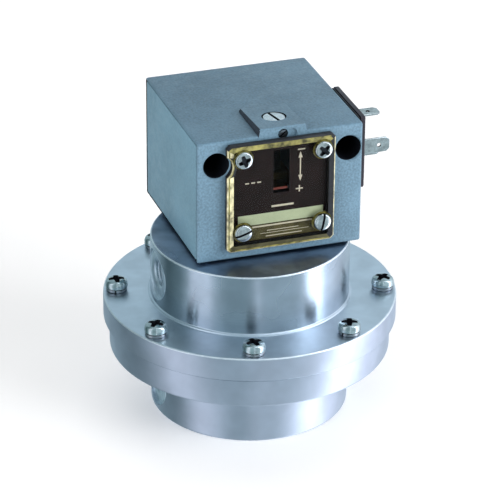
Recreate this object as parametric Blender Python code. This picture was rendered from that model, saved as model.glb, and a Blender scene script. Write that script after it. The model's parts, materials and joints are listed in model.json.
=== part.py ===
"""Differential pressure switch: a die-cast switch housing on a turned aluminium diaphragm chamber.

Metres, +Z up. The origin is the centre of the lower drum's bottom face. The scale window faces -Y, the
side cover is at -X and the electrical plug base at +X. A diaphragm between the two flanges lifts a thrust
pin, which lifts a lever (the switching bridge) against a setting spring, and the lever works a microswitch.
The setting spindle turns in place and moves the spring's running nut, whose pointer shows in the window.
"""

import math

import bmesh
import bpy
from mathutils import Matrix, Vector

MM = 0.001
GAP = 0.3 * MM  # clearance left between pieces that touch on the real switch

# Chamber: two drums with bolted flanges, turned about Z
FLANGE_RADIUS = 65.0 * MM
LOWER_FLANGE_RADIUS = 62.4 * MM
DRUM_RADIUS = 44.0 * MM
DRUM_HEIGHT = 28.0 * MM
LOWER_FLANGE_HEIGHT = 12.6 * MM
UPPER_FLANGE_HEIGHT = 10.8 * MM
DIAPHRAGM_THICKNESS = 0.8 * MM
PARTING_Z = DRUM_HEIGHT + LOWER_FLANGE_HEIGHT
DIAPHRAGM_Z = PARTING_Z + GAP
UPPER_FLANGE_Z = DIAPHRAGM_Z + DIAPHRAGM_THICKNESS + GAP
FLANGE_TOP_Z = UPPER_FLANGE_Z + UPPER_FLANGE_HEIGHT
DRUM_TOP_Z = FLANGE_TOP_Z + DRUM_HEIGHT
CHAMBER_SEGMENTS = 48
EDGE_CHAMFER = 0.8 * MM
DRUM_FILLET = 2.2 * MM

# Flange screws: cross-recess pan heads M5 over spring washers
SCREW_COUNT = 8
SCREW_CIRCLE_RADIUS = 59.0 * MM
FIRST_SCREW_ANGLE = math.radians(-107.0)  # from +X, so that one screw stands a little left of the front
M5_RADIUS = 2.5 * MM
M5_HEAD_RADIUS = 5.0 * MM
M5_HEAD_HEIGHT = 3.7 * MM
SPRING_WASHER_RADIUS = 4.6 * MM
SPRING_WASHER_HEIGHT = 1.2 * MM
FLANGE_SCREW_LENGTH = 21.0 * MM

# Pressure ports: G1/4 bores in spot faces on the -X side of both drums
PORT_RADIUS = 5.9 * MM
PORT_DEPTH = 20.0 * MM
SPOT_FACE_RADIUS = 11.5 * MM
SPOT_FACE_X = -42.4 * MM
LOWER_PORT_Z = DRUM_HEIGHT / 2
UPPER_PORT_Z = FLANGE_TOP_Z + DRUM_HEIGHT / 2
CHANNEL_RADIUS = 2.5 * MM
CHANNEL_X = -28.0 * MM

# Diaphragm stack, clamped on the thrust pin
CAVITY_RADIUS = 40.0 * MM
CAVITY_DEPTH = 6.5 * MM
PLATE_RADIUS = 33.0 * MM
PLATE_THICKNESS = 2.6 * MM
PLATE_TRAVEL_GAP = 1.0 * MM
HUB_RADIUS = 5.0 * MM
PIN_RADIUS = 3.0 * MM
BUSH_RADIUS = 7.0 * MM
STEM_RADIUS = 9.0 * MM
STEM_HEIGHT = 11.2 * MM
SEAL_RADIUS = 1.3 * MM
SEAL_LEDGE_HEIGHT = 4.0 * MM
ROLL_HEIGHT = 1.6 * MM
STEM_NUT_HALF_FLATS = 13.0 * MM
STEM_NUT_HEIGHT = 5.0 * MM

# Switch housing
HOUSING_WIDTH = 74.8 * MM
HOUSING_DEPTH = 74.4 * MM
HOUSING_HEIGHT = 56.5 * MM
HOUSING_X = 5.1 * MM
HOUSING_Y = 13.1 * MM
HOUSING_Z = DRUM_TOP_Z + 0.9 * MM
WALL = 3.5 * MM
FRONT_WALL = 5.0 * MM
HOUSING_EDGE = 0.9 * MM
LEFT = HOUSING_X - HOUSING_WIDTH / 2
RIGHT = HOUSING_X + HOUSING_WIDTH / 2
FRONT = HOUSING_Y - HOUSING_DEPTH / 2
BACK = HOUSING_Y + HOUSING_DEPTH / 2
TOP = HOUSING_Z + HOUSING_HEIGHT
FLOOR_Z = HOUSING_Z + WALL
COVER_THICKNESS = 1.8 * MM
COVER_LIP = 0.6 * MM
BORE_PITCH = 59.6 * MM  # the two wall-mounting bores
BORE_X = 6.2 * MM
BORE_Z = 127.0 * MM
BORE_RADIUS = 5.8 * MM
BORE_WALL = 1.7 * MM
WALL_SCREW_RADIUS = 2.75 * MM

# Raised pad round the setting spindle: a wedge that runs out towards the back
PAD_HALF_WIDTH = 10.5 * MM
PAD_X = 6.0 * MM
PAD_BACK = 2.5 * MM
PAD_HEIGHT = 3.1 * MM
PAD_LEAN = 0.8 * MM
PAD_SETBACK = 0.1 * MM

# Scale window
WINDOW_X = 4.45 * MM
WINDOW_Z = 111.6 * MM
WINDOW_HALF_X = 24.4 * MM
WINDOW_HALF_Z = 25.1 * MM
WINDOW_THICKNESS = 2.4 * MM
WINDOW_CORNER = 1.5 * MM
GASKET_THICKNESS = 0.7 * MM
GASKET_WIDTH = 2.8 * MM
SCALE_THICKNESS = 0.6 * MM
SLOT_X = 5.3 * MM
SLOT_WIDTH = 7.2 * MM
SLOT_LOW = 110.9 * MM
SLOT_HIGH = 131.1 * MM
WINDOW_SCREW_X = 5.05 * MM  # centre of the four screws, and their reach from it
WINDOW_SCREW_Z = 113.0 * MM
WINDOW_SCREW_REACH_X = 17.95 * MM
WINDOW_SCREW_REACH_Z = 17.2 * MM
M4_RADIUS = 2.0 * MM
M4_HEAD_RADIUS = 4.0 * MM
M4_HEAD_HEIGHT = 2.1 * MM
WINDOW_SCREW_LENGTH = 7.4 * MM

# Setting mechanism
SPINDLE_X = 6.5 * MM
SPINDLE_Y = -11.0 * MM
SPINDLE_RADIUS = 3.0 * MM
SPINDLE_HEAD_RADIUS = 4.85 * MM
SPINDLE_HEAD_HEIGHT = 3.3 * MM
SPINDLE_HEAD_Z = TOP - 1.35 * MM  # underside of the head
SPINDLE_END_Z = 104.8 * MM
SPINDLE_GROOVE_DEPTH = 0.8 * MM
SPINDLE_SLOT_DEPTH = 1.2 * MM
SPINDLE_SLOT_TURN = math.radians(-77.0)
RETAINER_Z = TOP - WALL - 1.35 * MM
RETAINER_HEIGHT = 1.0 * MM
NUT_SIDE = 11.6 * MM
NUT_HEIGHT = 6.6 * MM
NUT_Z = 109.6 * MM
POINTER_WIDTH = 6.4 * MM
POINTER_Z = 112.0 * MM
POINTER_THICKNESS = 1.0 * MM
SPRING_RADIUS = 5.4 * MM
SPRING_WIRE = 0.55 * MM
SPRING_TURNS = 5
SEAT_HEIGHT = 1.5 * MM
LOCK_Z = TOP - 0.6 * MM
LOCK_DEPTH = 0.9 * MM  # how far the locking screw's slotted end lies behind the front face
LOCK_RECESS_RADIUS = 2.7 * MM
LOCK_RECESS_RUN = 3.4 * MM
LOCK_RECESS_DEPTH = 1.0 * MM
LOCK_PAD_LENGTH = 2.2 * MM
LOCK_SLOT_TURN = math.radians(-40.0)  # about Y, so that the slot rises towards +X

# Switching bridge on its pivot, and the microswitch above it
PIVOT_Y = 30.0 * MM
PIVOT_Z = 95.2 * MM
PIVOT_RADIUS = 1.5 * MM
BRIDGE_Z = 96.2 * MM
BRIDGE_THICKNESS = 2.0 * MM
BRIDGE_LEFT = -8.8 * MM
BRIDGE_RIGHT = 14.2 * MM
BRIDGE_FRONT = -17.5 * MM
SPRING_LOW_Z = BRIDGE_Z + BRIDGE_THICKNESS + GAP + SEAT_HEIGHT + GAP
BRIDGE_REAR = PIVOT_Y - 3.5 * MM
SHEET = 2.0 * MM
EAR_GAP = 0.7 * MM
EAR_TOP = PIVOT_Z + 4.0 * MM
BRACKET_FRONT = PIVOT_Y - 5.0 * MM
EAR_BACK = PIVOT_Y + 5.0 * MM
BRACKET_BACK = PIVOT_Y + 11.0 * MM
BRACKET_SCREW_INSET = 3.5 * MM
BRACKET_SCREW_Y = PIVOT_Y + 8.0 * MM
BRACKET_TAP_DEPTH = 2.6 * MM
SWITCH_LEFT = BRIDGE_LEFT - EAR_GAP + GAP
SWITCH_WIDTH = 10.2 * MM
SWITCH_FRONT = 1.0 * MM
SWITCH_LENGTH = 27.8 * MM
SWITCH_Z = 103.8 * MM
SWITCH_HEIGHT = 15.9 * MM
PLUNGER_X = -4.0 * MM
PLUNGER_Y = 5.0 * MM
PLUNGER_Z = SWITCH_Z - 0.8 * MM  # the plunger's foot
PLUNGER_HEIGHT = 4.8 * MM
SWITCH_SCREW_Z = SWITCH_Z + 12.8 * MM
SWITCH_SCREW_INSET = 2.85 * MM
M3_RADIUS = 1.45 * MM
M3_HEAD_RADIUS = 2.75 * MM
M3_HEAD_HEIGHT = 2.0 * MM
CALIBRATION_SCREW_LENGTH = 7.0 * MM
BRACKET_SCREW_LENGTH = 4.6 * MM
SWITCH_SCREW_LENGTH = 13.0 * MM

# Electrical plug base on the +X side, with two flat contact blades and an earth blade in front of them
PLUG_Y = -1.0 * MM
PLUG_Z = 121.0 * MM
PLUG_HALF_Y = 17.0 * MM
PLUG_HALF_Z = 17.0 * MM
PLUG_GASKET_THICKNESS = 0.7 * MM
LEAD_WINDOW_HALF = 6.0 * MM  # the opening for the inner leads, below the plug's centre
LEAD_WINDOW_LOW = 11.0 * MM
LEAD_WINDOW_HIGH = 4.0 * MM
PLUG_THICKNESS = 2.2 * MM
PLUG_CORNER = 1.0 * MM
PLUG_CENTRE_HOLE_RADIUS = 1.5 * MM
PLUG_SCREW_SINK = 1.2 * MM
PLUG_SCREW_INSET = 3.3 * MM
PLUG_SCREW_LENGTH = 5.0 * MM
BLADE_WIDTH = 6.8 * MM
BLADE_THICKNESS = 0.8 * MM
BLADE_LENGTH = 15.4 * MM
BLADES_Y = 1.7 * MM  # the point between the two contact blades
BLADES_Z = 120.8 * MM
CONTACT_REACH = 9.5 * MM  # from that point up and down to the contact blades
EARTH_REACH = 14.1 * MM  # and forward to the earth blade
BLADE_HOLE_RADIUS = 0.8 * MM
BLADE_HOLE_INSET = 4.9 * MM
BLADE_TIP = 1.2 * MM

ALONG_X = Matrix.Rotation(math.radians(90), 4, "Y")  # turns a shape made about Z to lie along +X
ALONG_Y = Matrix.Rotation(math.radians(-90), 4, "X")  # and along +Y
TOWARDS_FRONT = Matrix.Rotation(math.radians(90), 4, "X")  # and along -Y

FINISHES = {
    "turned_aluminium": ((0.62, 0.67, 0.72), 0.3, 1.0),
    "hammered_paint": ((0.2, 0.33, 0.42), 0.45, 0.0),
    "steel": ((0.6, 0.6, 0.62), 0.3, 1.0),
    "brass": ((0.7, 0.53, 0.25), 0.35, 1.0),
    "spring_steel": ((0.35, 0.35, 0.37), 0.35, 1.0),
    "rubber": ((0.02, 0.02, 0.02), 0.7, 0.0),
    "black_plastic": ((0.025, 0.02, 0.025), 0.45, 0.0),
    "white_plastic": ((0.75, 0.74, 0.7), 0.5, 0.0),
    "clear_plastic": ((0.75, 0.72, 0.45), 0.1, 0.0),
    "scale_print": ((0.03, 0.02, 0.022), 0.4, 0.0),
}


def clear_scene():
    for obj in list(bpy.data.objects):
        bpy.data.objects.remove(obj, do_unlink=True)


def material(name):
    found = bpy.data.materials.get(name)
    if found:
        return found
    colour, roughness, metallic = FINISHES[name]
    made = bpy.data.materials.new(name)
    made.use_nodes = True
    shader = made.node_tree.nodes["Principled BSDF"]
    shader.inputs["Base Color"].default_value = (*colour, 1.0)
    shader.inputs["Roughness"].default_value = roughness
    shader.inputs["Metallic"].default_value = metallic
    made.diffuse_color = (*colour, 1.0)
    return made


def add_object(name, bm, finish=None, location=(0, 0, 0), smooth=False):
    """Turn a bmesh into an object at a location. Smooth faces keep sharp edges over 40 degrees."""
    bmesh.ops.recalc_face_normals(bm, faces=bm.faces)
    mesh = bpy.data.meshes.new(name)
    bm.to_mesh(mesh)
    bm.free()
    if smooth:
        mesh.shade_smooth()
        mesh.set_sharp_from_angle(angle=math.radians(40))
    obj = bpy.data.objects.new(name, mesh)
    obj.location = location
    bpy.context.scene.collection.objects.link(obj)
    if finish:
        mesh.materials.append(material(finish))
    return obj


def cutter(bm, location=(0, 0, 0)):
    obj = add_object("cutter", bm, location=location)
    obj.hide_render = True
    obj.display_type = "WIRE"
    return obj


def combine(target, other, operation):
    modifier = target.modifiers.new(operation.lower(), "BOOLEAN")
    modifier.operation = operation
    modifier.object = other
    modifier.solver = "EXACT"


def cut(target, *tools):
    for tool in tools:
        combine(target, tool, "DIFFERENCE")


def join(target, *additions):
    for addition in additions:
        combine(target, addition, "UNION")


def box(low, high):
    bm = bmesh.new()
    size = Vector(high) - Vector(low)
    centre = (Vector(high) + Vector(low)) / 2
    bmesh.ops.create_cube(bm, size=1.0)
    bmesh.ops.scale(bm, vec=size, verts=bm.verts)
    bmesh.ops.translate(bm, vec=centre, verts=bm.verts)
    return bm


def bevel_edges(bm, width, chosen):
    edges = [edge for edge in bm.edges if chosen(edge)]
    bmesh.ops.bevel(bm, geom=edges, offset=width, segments=1, affect="EDGES")


def lies_along(edge, axis):
    direction = (edge.verts[0].co - edge.verts[1].co).normalized()
    return abs(direction[axis]) > 0.99


def lathe(profile, segments, turn=None):
    """A solid of revolution about Z from a closed outline of (radius, z) points."""
    bm = bmesh.new()
    rings = []
    for radius, z in profile:
        if radius == 0:
            rings.append([bm.verts.new((0, 0, z))] * segments)
            continue
        angles = [2 * math.pi * i / segments for i in range(segments)]
        rings.append([bm.verts.new((radius * math.cos(a), radius * math.sin(a), z)) for a in angles])
    for lower, upper in zip(rings, rings[1:] + rings[:1]):
        for i in range(segments):
            j = (i + 1) % segments
            corners = []
            for vert in (lower[i], lower[j], upper[j], upper[i]):
                if vert not in corners:
                    corners.append(vert)
            if len(corners) > 2:
                bm.faces.new(corners)
    if turn:
        bm.transform(turn)
    return bm


def rod(radius, low, high, segments=24, turn=None):
    return lathe([(0, low), (radius, low), (radius, high), (0, high)], segments, turn)


def ring(inner, outer, low, high, segments=24, turn=None):
    return lathe([(inner, low), (outer, low), (outer, high), (inner, high)], segments, turn)


def stepped_rod(wide, narrow, levels, turn=None):
    """A wide rod from the first level to the second, and a narrow one on to the third."""
    first, step, last = levels
    profile = [(0, first), (wide, first), (wide, step), (narrow, step), (narrow, last), (0, last)]
    return lathe(profile, 28, turn)


def prism(outline, axis, low, high):
    """Extrude an outline, given in the other two axes, along one axis."""
    bm = bmesh.new()
    others = [a for a in range(3) if a != axis]
    verts = []
    for point in outline:
        co = Vector((0, 0, 0))
        co[others[0]] = point[0]
        co[others[1]] = point[1]
        co[axis] = low
        verts.append(bm.verts.new(co))
    face = bm.faces.new(verts)
    grown = bmesh.ops.extrude_face_region(bm, geom=[face])
    step = Vector((0, 0, 0))
    step[axis] = high - low
    moved = [item for item in grown["geom"] if isinstance(item, bmesh.types.BMVert)]
    bmesh.ops.translate(bm, vec=step, verts=moved)
    return bm


def stadium(radius, run, steps=10):
    """The outline of a slot with round ends, from one end's centre at 0 to the other's at run."""
    points = []
    for centre, first in ((run, -90), (0, 90)):
        for i in range(steps + 1):
            angle = math.radians(first + 180 * i / steps)
            points.append((centre + radius * math.cos(angle), radius * math.sin(angle)))
    return points


def cross_recess(radius, top, depth):
    """A cross-shaped cutter that sinks a driver recess into a head whose top is at z = top."""
    reach = radius * 0.56
    half = radius * 0.2
    quarter = ((reach, -half), (reach, half), (half, half))
    outline = []
    for turn in range(4):
        cosine, sine = round(math.cos(turn * math.pi / 2)), round(math.sin(turn * math.pi / 2))
        outline += [(x * cosine - y * sine, x * sine + y * cosine) for x, y in quarter]
    return prism(outline, 2, top - depth, top + depth)


def straight_slot(radius, top, depth):
    reach = radius * 1.2
    half = radius * 0.15
    return box((-reach, -half, top - depth), (reach, half, top + depth))


def add_screw(name, location, head, shank, turn=None, recess=cross_recess, segments=14):
    """A pan-head screw whose seat is at its origin. head and shank are (radius, height)."""
    head_radius, head_height = head
    shank_radius, length = shank
    profile = [
        (0, -length),
        (shank_radius, -length),
        (shank_radius, 0),
        (head_radius, 0),
        (head_radius, head_height * 0.5),
        (head_radius * 0.72, head_height * 0.93),
        (head_radius * 0.35, head_height),
        (0, head_height),
    ]
    turn = turn or Matrix()
    obj = add_object(name, lathe(profile, segments, turn), "steel", location, smooth=True)
    tool = recess(head_radius, head_height, head_height * 0.55)
    tool.transform(turn)
    cut(obj, cutter(tool, location))


def screw_places():
    """(x, y) of each flange screw."""
    step = 2 * math.pi / SCREW_COUNT
    angles = [FIRST_SCREW_ANGLE + step * i for i in range(SCREW_COUNT)]
    return [(SCREW_CIRCLE_RADIUS * math.cos(a), SCREW_CIRCLE_RADIUS * math.sin(a)) for a in angles]


def cut_flange_holes(target, radius, low, high):
    for x, y in screw_places():
        cut(target, cutter(rod(radius, low, high, 12), (x, y, 0)))


def cut_port(target, port_z, cavity_z):
    """A spot face, the bore behind it and the channel that leads to the diaphragm cavity."""
    outside = -DRUM_RADIUS - 5 * MM
    spot = rod(SPOT_FACE_RADIUS, outside, SPOT_FACE_X, 32, ALONG_X)
    bore = rod(PORT_RADIUS, outside, SPOT_FACE_X + PORT_DEPTH, 24, ALONG_X)
    low, high = sorted((port_z, cavity_z))
    cut(
        target,
        cutter(spot, (0, 0, port_z)),
        cutter(bore, (0, 0, port_z)),
        cutter(rod(CHANNEL_RADIUS, low, high, 12), (CHANNEL_X, 0, 0)),
    )


def build_lower_chamber():
    profile = [
        (0, 0),
        (DRUM_RADIUS - EDGE_CHAMFER, 0),
        (DRUM_RADIUS, EDGE_CHAMFER),
        (DRUM_RADIUS, DRUM_HEIGHT),
        (LOWER_FLANGE_RADIUS - EDGE_CHAMFER, DRUM_HEIGHT),
        (LOWER_FLANGE_RADIUS, DRUM_HEIGHT + EDGE_CHAMFER),
        (LOWER_FLANGE_RADIUS, PARTING_Z),
        (CAVITY_RADIUS, PARTING_Z),
        (CAVITY_RADIUS, PARTING_Z - CAVITY_DEPTH),
        (0, PARTING_Z - CAVITY_DEPTH),
    ]
    chamber = add_object("lower_chamber", lathe(profile, CHAMBER_SEGMENTS), "turned_aluminium", smooth=True)
    cut_flange_holes(chamber, M5_RADIUS + GAP, DRUM_HEIGHT - MM, PARTING_Z + MM)
    cut_port(chamber, LOWER_PORT_Z, PARTING_Z - CAVITY_DEPTH + MM)


def build_upper_chamber():
    cavity_top = UPPER_FLANGE_Z + CAVITY_DEPTH
    ledge_z = cavity_top + SEAL_LEDGE_HEIGHT
    stem_top = DRUM_TOP_Z + STEM_HEIGHT
    profile = [
        (CAVITY_RADIUS, UPPER_FLANGE_Z),
        (FLANGE_RADIUS, UPPER_FLANGE_Z),
        (FLANGE_RADIUS, FLANGE_TOP_Z - EDGE_CHAMFER),
        (FLANGE_RADIUS - EDGE_CHAMFER, FLANGE_TOP_Z),
        (DRUM_RADIUS + DRUM_FILLET, FLANGE_TOP_Z),
        (DRUM_RADIUS + DRUM_FILLET * 0.3, FLANGE_TOP_Z + DRUM_FILLET * 0.3),
        (DRUM_RADIUS, FLANGE_TOP_Z + DRUM_FILLET),
        (DRUM_RADIUS, DRUM_TOP_Z - EDGE_CHAMFER),
        (DRUM_RADIUS - EDGE_CHAMFER, DRUM_TOP_Z),
        (STEM_RADIUS, DRUM_TOP_Z),
        (STEM_RADIUS, stem_top),
        (BUSH_RADIUS + GAP, stem_top),
        (BUSH_RADIUS + GAP, ledge_z),
        (PIN_RADIUS + 3 * GAP, ledge_z),
        (PIN_RADIUS + 3 * GAP, cavity_top),
        (CAVITY_RADIUS, cavity_top),
    ]
    chamber = add_object("upper_chamber", lathe(profile, CHAMBER_SEGMENTS), "turned_aluminium", smooth=True)
    cut_flange_holes(chamber, M5_RADIUS + GAP, UPPER_FLANGE_Z - MM, FLANGE_TOP_Z + MM)
    cut_port(chamber, UPPER_PORT_Z, cavity_top - MM)
    seal_z = ledge_z + GAP + SEAL_RADIUS
    seal_ring = PIN_RADIUS + GAP + SEAL_RADIUS
    steps = [2 * math.pi * i / 6 for i in range(6)]
    circle = [(seal_ring + SEAL_RADIUS * math.cos(a), seal_z + SEAL_RADIUS * math.sin(a)) for a in steps]
    add_object("stem_seal", lathe(circle, 16), "rubber", smooth=True)
    bush_low = seal_z + SEAL_RADIUS + GAP
    bush = ring(PIN_RADIUS + GAP, BUSH_RADIUS, bush_low, stem_top - MM, 16)
    add_object("guide_bush", bush, "brass", smooth=True)


def build_diaphragm():
    """A rubber disc clamped at its rim, with one rolled convolution and a centre hole for the hub."""
    roll_in = PLATE_RADIUS + MM
    roll_out = CAVITY_RADIUS - MM
    steps = 3
    crest = []
    for i in range(steps + 1):
        part = i / steps
        lift = ROLL_HEIGHT * math.sin(math.pi * part)
        crest.append((roll_in + (roll_out - roll_in) * part, DIAPHRAGM_Z + lift))
    rim = LOWER_FLANGE_RADIUS - 0.4 * MM
    hole = HUB_RADIUS + MM
    bottom = [(hole, DIAPHRAGM_Z), *crest, (rim, DIAPHRAGM_Z)]
    top = [(radius, z + DIAPHRAGM_THICKNESS) for radius, z in reversed(bottom)]
    diaphragm = add_object("diaphragm", lathe(bottom + top, 36), "rubber", smooth=True)
    cut_flange_holes(diaphragm, M5_RADIUS + GAP, DIAPHRAGM_Z - MM, DIAPHRAGM_Z + 2 * MM)


def build_diaphragm_stack():
    """Plates above and below the diaphragm, their nut, and the thrust pin: all rise together."""
    upper_low = DIAPHRAGM_Z + DIAPHRAGM_THICKNESS + PLATE_TRAVEL_GAP
    upper_high = upper_low + PLATE_THICKNESS
    lower_high = DIAPHRAGM_Z - PLATE_TRAVEL_GAP
    lower_low = lower_high - PLATE_THICKNESS
    pin_foot = upper_low - MM
    profile = [
        (0, lower_low - 1.6 * MM),
        (HUB_RADIUS - 2 * MM, lower_low - 1.6 * MM),
        (HUB_RADIUS - 2 * MM, lower_high),
        (HUB_RADIUS, lower_high + GAP),
        (HUB_RADIUS, upper_low),
        (PLATE_RADIUS, upper_low),
        (PLATE_RADIUS, upper_high),
        (PIN_RADIUS + GAP, upper_high),
        (PIN_RADIUS + GAP, pin_foot),
        (0, pin_foot),
    ]
    add_object("upper_diaphragm_plate", lathe(profile, 28), "turned_aluminium", smooth=True)
    lower = ring(HUB_RADIUS - 2 * MM + GAP, PLATE_RADIUS, lower_low, lower_high, 28)
    add_object("lower_diaphragm_plate", lower, "turned_aluminium", smooth=True)
    nut = add_object("diaphragm_nut", hexagon(5.5 * MM, lower_low - 2.4 * MM, lower_low - GAP), "steel")
    cut(nut, cutter(rod(HUB_RADIUS - 2 * MM + GAP, lower_low - 3 * MM, lower_low, 16)))
    pin_top = BRIDGE_Z - GAP
    pin = [
        (0, pin_foot + GAP),
        (PIN_RADIUS, pin_foot + GAP),
        (PIN_RADIUS, pin_top - 1.5 * MM),
        (PIN_RADIUS * 0.6, pin_top),
        (0, pin_top),
    ]
    add_object("thrust_pin", lathe(pin, 16), "steel", smooth=True)


def hexagon(half_flats, low, high):
    bm = lathe([(0, low), (half_flats, low), (half_flats, high), (0, high)], 6)
    bmesh.ops.scale(bm, vec=(2 / math.sqrt(3), 2 / math.sqrt(3), 1), verts=bm.verts)
    return bm


def build_flange_fasteners():
    seat = FLANGE_TOP_Z + GAP
    head_seat = seat + SPRING_WASHER_HEIGHT + GAP
    for number, (x, y) in enumerate(screw_places(), start=1):
        washer = ring(M5_RADIUS + GAP, SPRING_WASHER_RADIUS, 0, SPRING_WASHER_HEIGHT, 14)
        add_object(f"flange_washer_{number}", washer, "spring_steel", (x, y, seat), smooth=True)
        add_screw(
            f"flange_screw_{number}",
            (x, y, head_seat),
            (M5_HEAD_RADIUS, M5_HEAD_HEIGHT),
            (M5_RADIUS, FLANGE_SCREW_LENGTH),
        )


def housing_pad():
    """The wedge on the housing's top. Its sides lean in a little."""
    foot = TOP - WALL / 2
    bm = bmesh.new()
    rings = []
    for y, rise in ((FRONT + PAD_SETBACK, PAD_HEIGHT), (PAD_BACK, 0.1 * MM)):
        corners = (
            (PAD_X - PAD_HALF_WIDTH - PAD_LEAN, foot),
            (PAD_X + PAD_HALF_WIDTH + PAD_LEAN, foot),
            (PAD_X + PAD_HALF_WIDTH, TOP + rise),
            (PAD_X - PAD_HALF_WIDTH, TOP + rise),
        )
        rings.append([bm.verts.new((x, y, z)) for x, z in corners])
    bm.faces.new(rings[0])
    bm.faces.new(rings[1])
    for i in range(4):
        j = (i + 1) % 4
        bm.faces.new((rings[0][i], rings[0][j], rings[1][j], rings[1][i]))
    return bm


def bore_places():
    return (BORE_X - BORE_PITCH / 2, BORE_X + BORE_PITCH / 2)


def window_screw_places():
    return [
        (WINDOW_SCREW_X + sx * WINDOW_SCREW_REACH_X, WINDOW_SCREW_Z + sz * WINDOW_SCREW_REACH_Z)
        for sz in (1, -1)
        for sx in (-1, 1)
    ]


def build_housing():
    shell = box((LEFT, FRONT, HOUSING_Z), (RIGHT, BACK, TOP))
    bevel_edges(shell, HOUSING_EDGE, lambda edge: True)
    housing = add_object("switch_housing", shell, "hammered_paint")
    join(housing, cutter(housing_pad()))
    inner_left = LEFT + COVER_THICKNESS + GAP
    cavity = box((LEFT - MM, FRONT + FRONT_WALL, FLOOR_Z), (RIGHT - WALL, BACK - WALL, TOP - WALL))
    lip = box(
        (LEFT - MM, FRONT + COVER_LIP, HOUSING_Z + COVER_LIP),
        (inner_left, BACK - COVER_LIP, TOP - COVER_LIP),
    )
    cut(housing, cutter(cavity))
    for x in bore_places():
        tube = box(
            (x - BORE_RADIUS - BORE_WALL, FRONT + MM, BORE_Z - BORE_RADIUS - BORE_WALL),
            (min(x + BORE_RADIUS + BORE_WALL, RIGHT - MM), BACK - MM, TOP - MM),
        )
        join(housing, cutter(tube))
    cut(housing, cutter(lip))
    for x in bore_places():
        levels = (FRONT - MM, BACK - WALL, BACK + MM)
        bore = stepped_rod(BORE_RADIUS, WALL_SCREW_RADIUS, levels, ALONG_Y)
        cut(housing, cutter(bore, (x, 0, BORE_Z)))
    cut_housing_openings(housing)


def cut_housing_openings(housing):
    levels = (TOP + 5 * MM, SPINDLE_HEAD_Z - GAP, TOP - WALL - MM)
    spindle_bore = stepped_rod(SPINDLE_HEAD_RADIUS + GAP, SPINDLE_RADIUS + GAP, levels)
    cut(housing, cutter(spindle_bore, (SPINDLE_X, SPINDLE_Y, 0)))
    lock_bore = rod(M4_RADIUS + GAP * 0.7, FRONT - MM, SPINDLE_Y - SPINDLE_RADIUS - MM, 20, ALONG_Y)
    cut(housing, cutter(lock_bore, (SPINDLE_X, 0, LOCK_Z)))
    recess = prism(stadium(LOCK_RECESS_RADIUS, LOCK_RECESS_RUN), 1, FRONT - MM, FRONT + LOCK_RECESS_DEPTH)
    cut(housing, cutter(recess, (SPINDLE_X, 0, LOCK_Z)))
    pointer_window = box(
        (SLOT_X - SLOT_WIDTH, FRONT - MM, SLOT_LOW - MM),
        (SLOT_X + SLOT_WIDTH, FRONT + FRONT_WALL + MM, SLOT_HIGH + MM),
    )
    stem_hole = rod(STEM_RADIUS + 0.5 * MM, HOUSING_Z - MM, FLOOR_Z + MM, 36)
    cut(housing, cutter(pointer_window), cutter(stem_hole))
    for x, z in window_screw_places():
        tapped = rod(M4_RADIUS + GAP * 0.7, FRONT - MM, FRONT + FRONT_WALL - MM, 16, ALONG_Y)
        cut(housing, cutter(tapped, (x, 0, z)))
    lead_window = box(
        (RIGHT - WALL - MM, PLUG_Y - LEAD_WINDOW_HALF, PLUG_Z - LEAD_WINDOW_LOW),
        (RIGHT + MM, PLUG_Y + LEAD_WINDOW_HALF, PLUG_Z - LEAD_WINDOW_HIGH),
    )
    cut(housing, cutter(lead_window))
    for x, y in bracket_screw_places():
        tapped = rod(M3_RADIUS + GAP, FLOOR_Z - BRACKET_TAP_DEPTH, FLOOR_Z + MM, 12)
        cut(housing, cutter(tapped, (x, y, 0)))
    for y, z in plug_screw_places():
        cut(housing, cutter(rod(M3_RADIUS + GAP, RIGHT - 3 * MM, RIGHT + MM, 12, ALONG_X), (0, y, z)))


def build_side_cover():
    edge = COVER_LIP + GAP * 1.5
    plate = box(
        (LEFT, FRONT + edge, HOUSING_Z + edge),
        (LEFT + COVER_THICKNESS, BACK - edge, TOP - edge),
    )
    bevel_edges(plate, 0.4 * MM, lambda edge: all(vert.co.x < LEFT + MM for vert in edge.verts))
    add_object("side_cover", plate, "hammered_paint")


def build_stem_nut():
    low = FLOOR_Z + GAP
    high = low + STEM_NUT_HEIGHT
    nut = add_object("stem_nut", hexagon(STEM_NUT_HALF_FLATS, low, high), "steel")
    cut(nut, cutter(rod(STEM_RADIUS + GAP, low - MM, high + MM, 36)))


def window_outline(inset, corner):
    """The window's rectangle, made smaller all round by the inset, with cut corners, as (x, z) points."""
    half_x = WINDOW_HALF_X - inset
    half_z = WINDOW_HALF_Z - inset
    points = []
    for sx, sz in ((1, 1), (-1, 1), (-1, -1), (1, -1)):
        near_x = (WINDOW_X + sx * (half_x - corner), WINDOW_Z + sz * half_z)
        near_z = (WINDOW_X + sx * half_x, WINDOW_Z + sz * (half_z - corner))
        points += [near_z, near_x] if sx == sz else [near_x, near_z]
    return points


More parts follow.
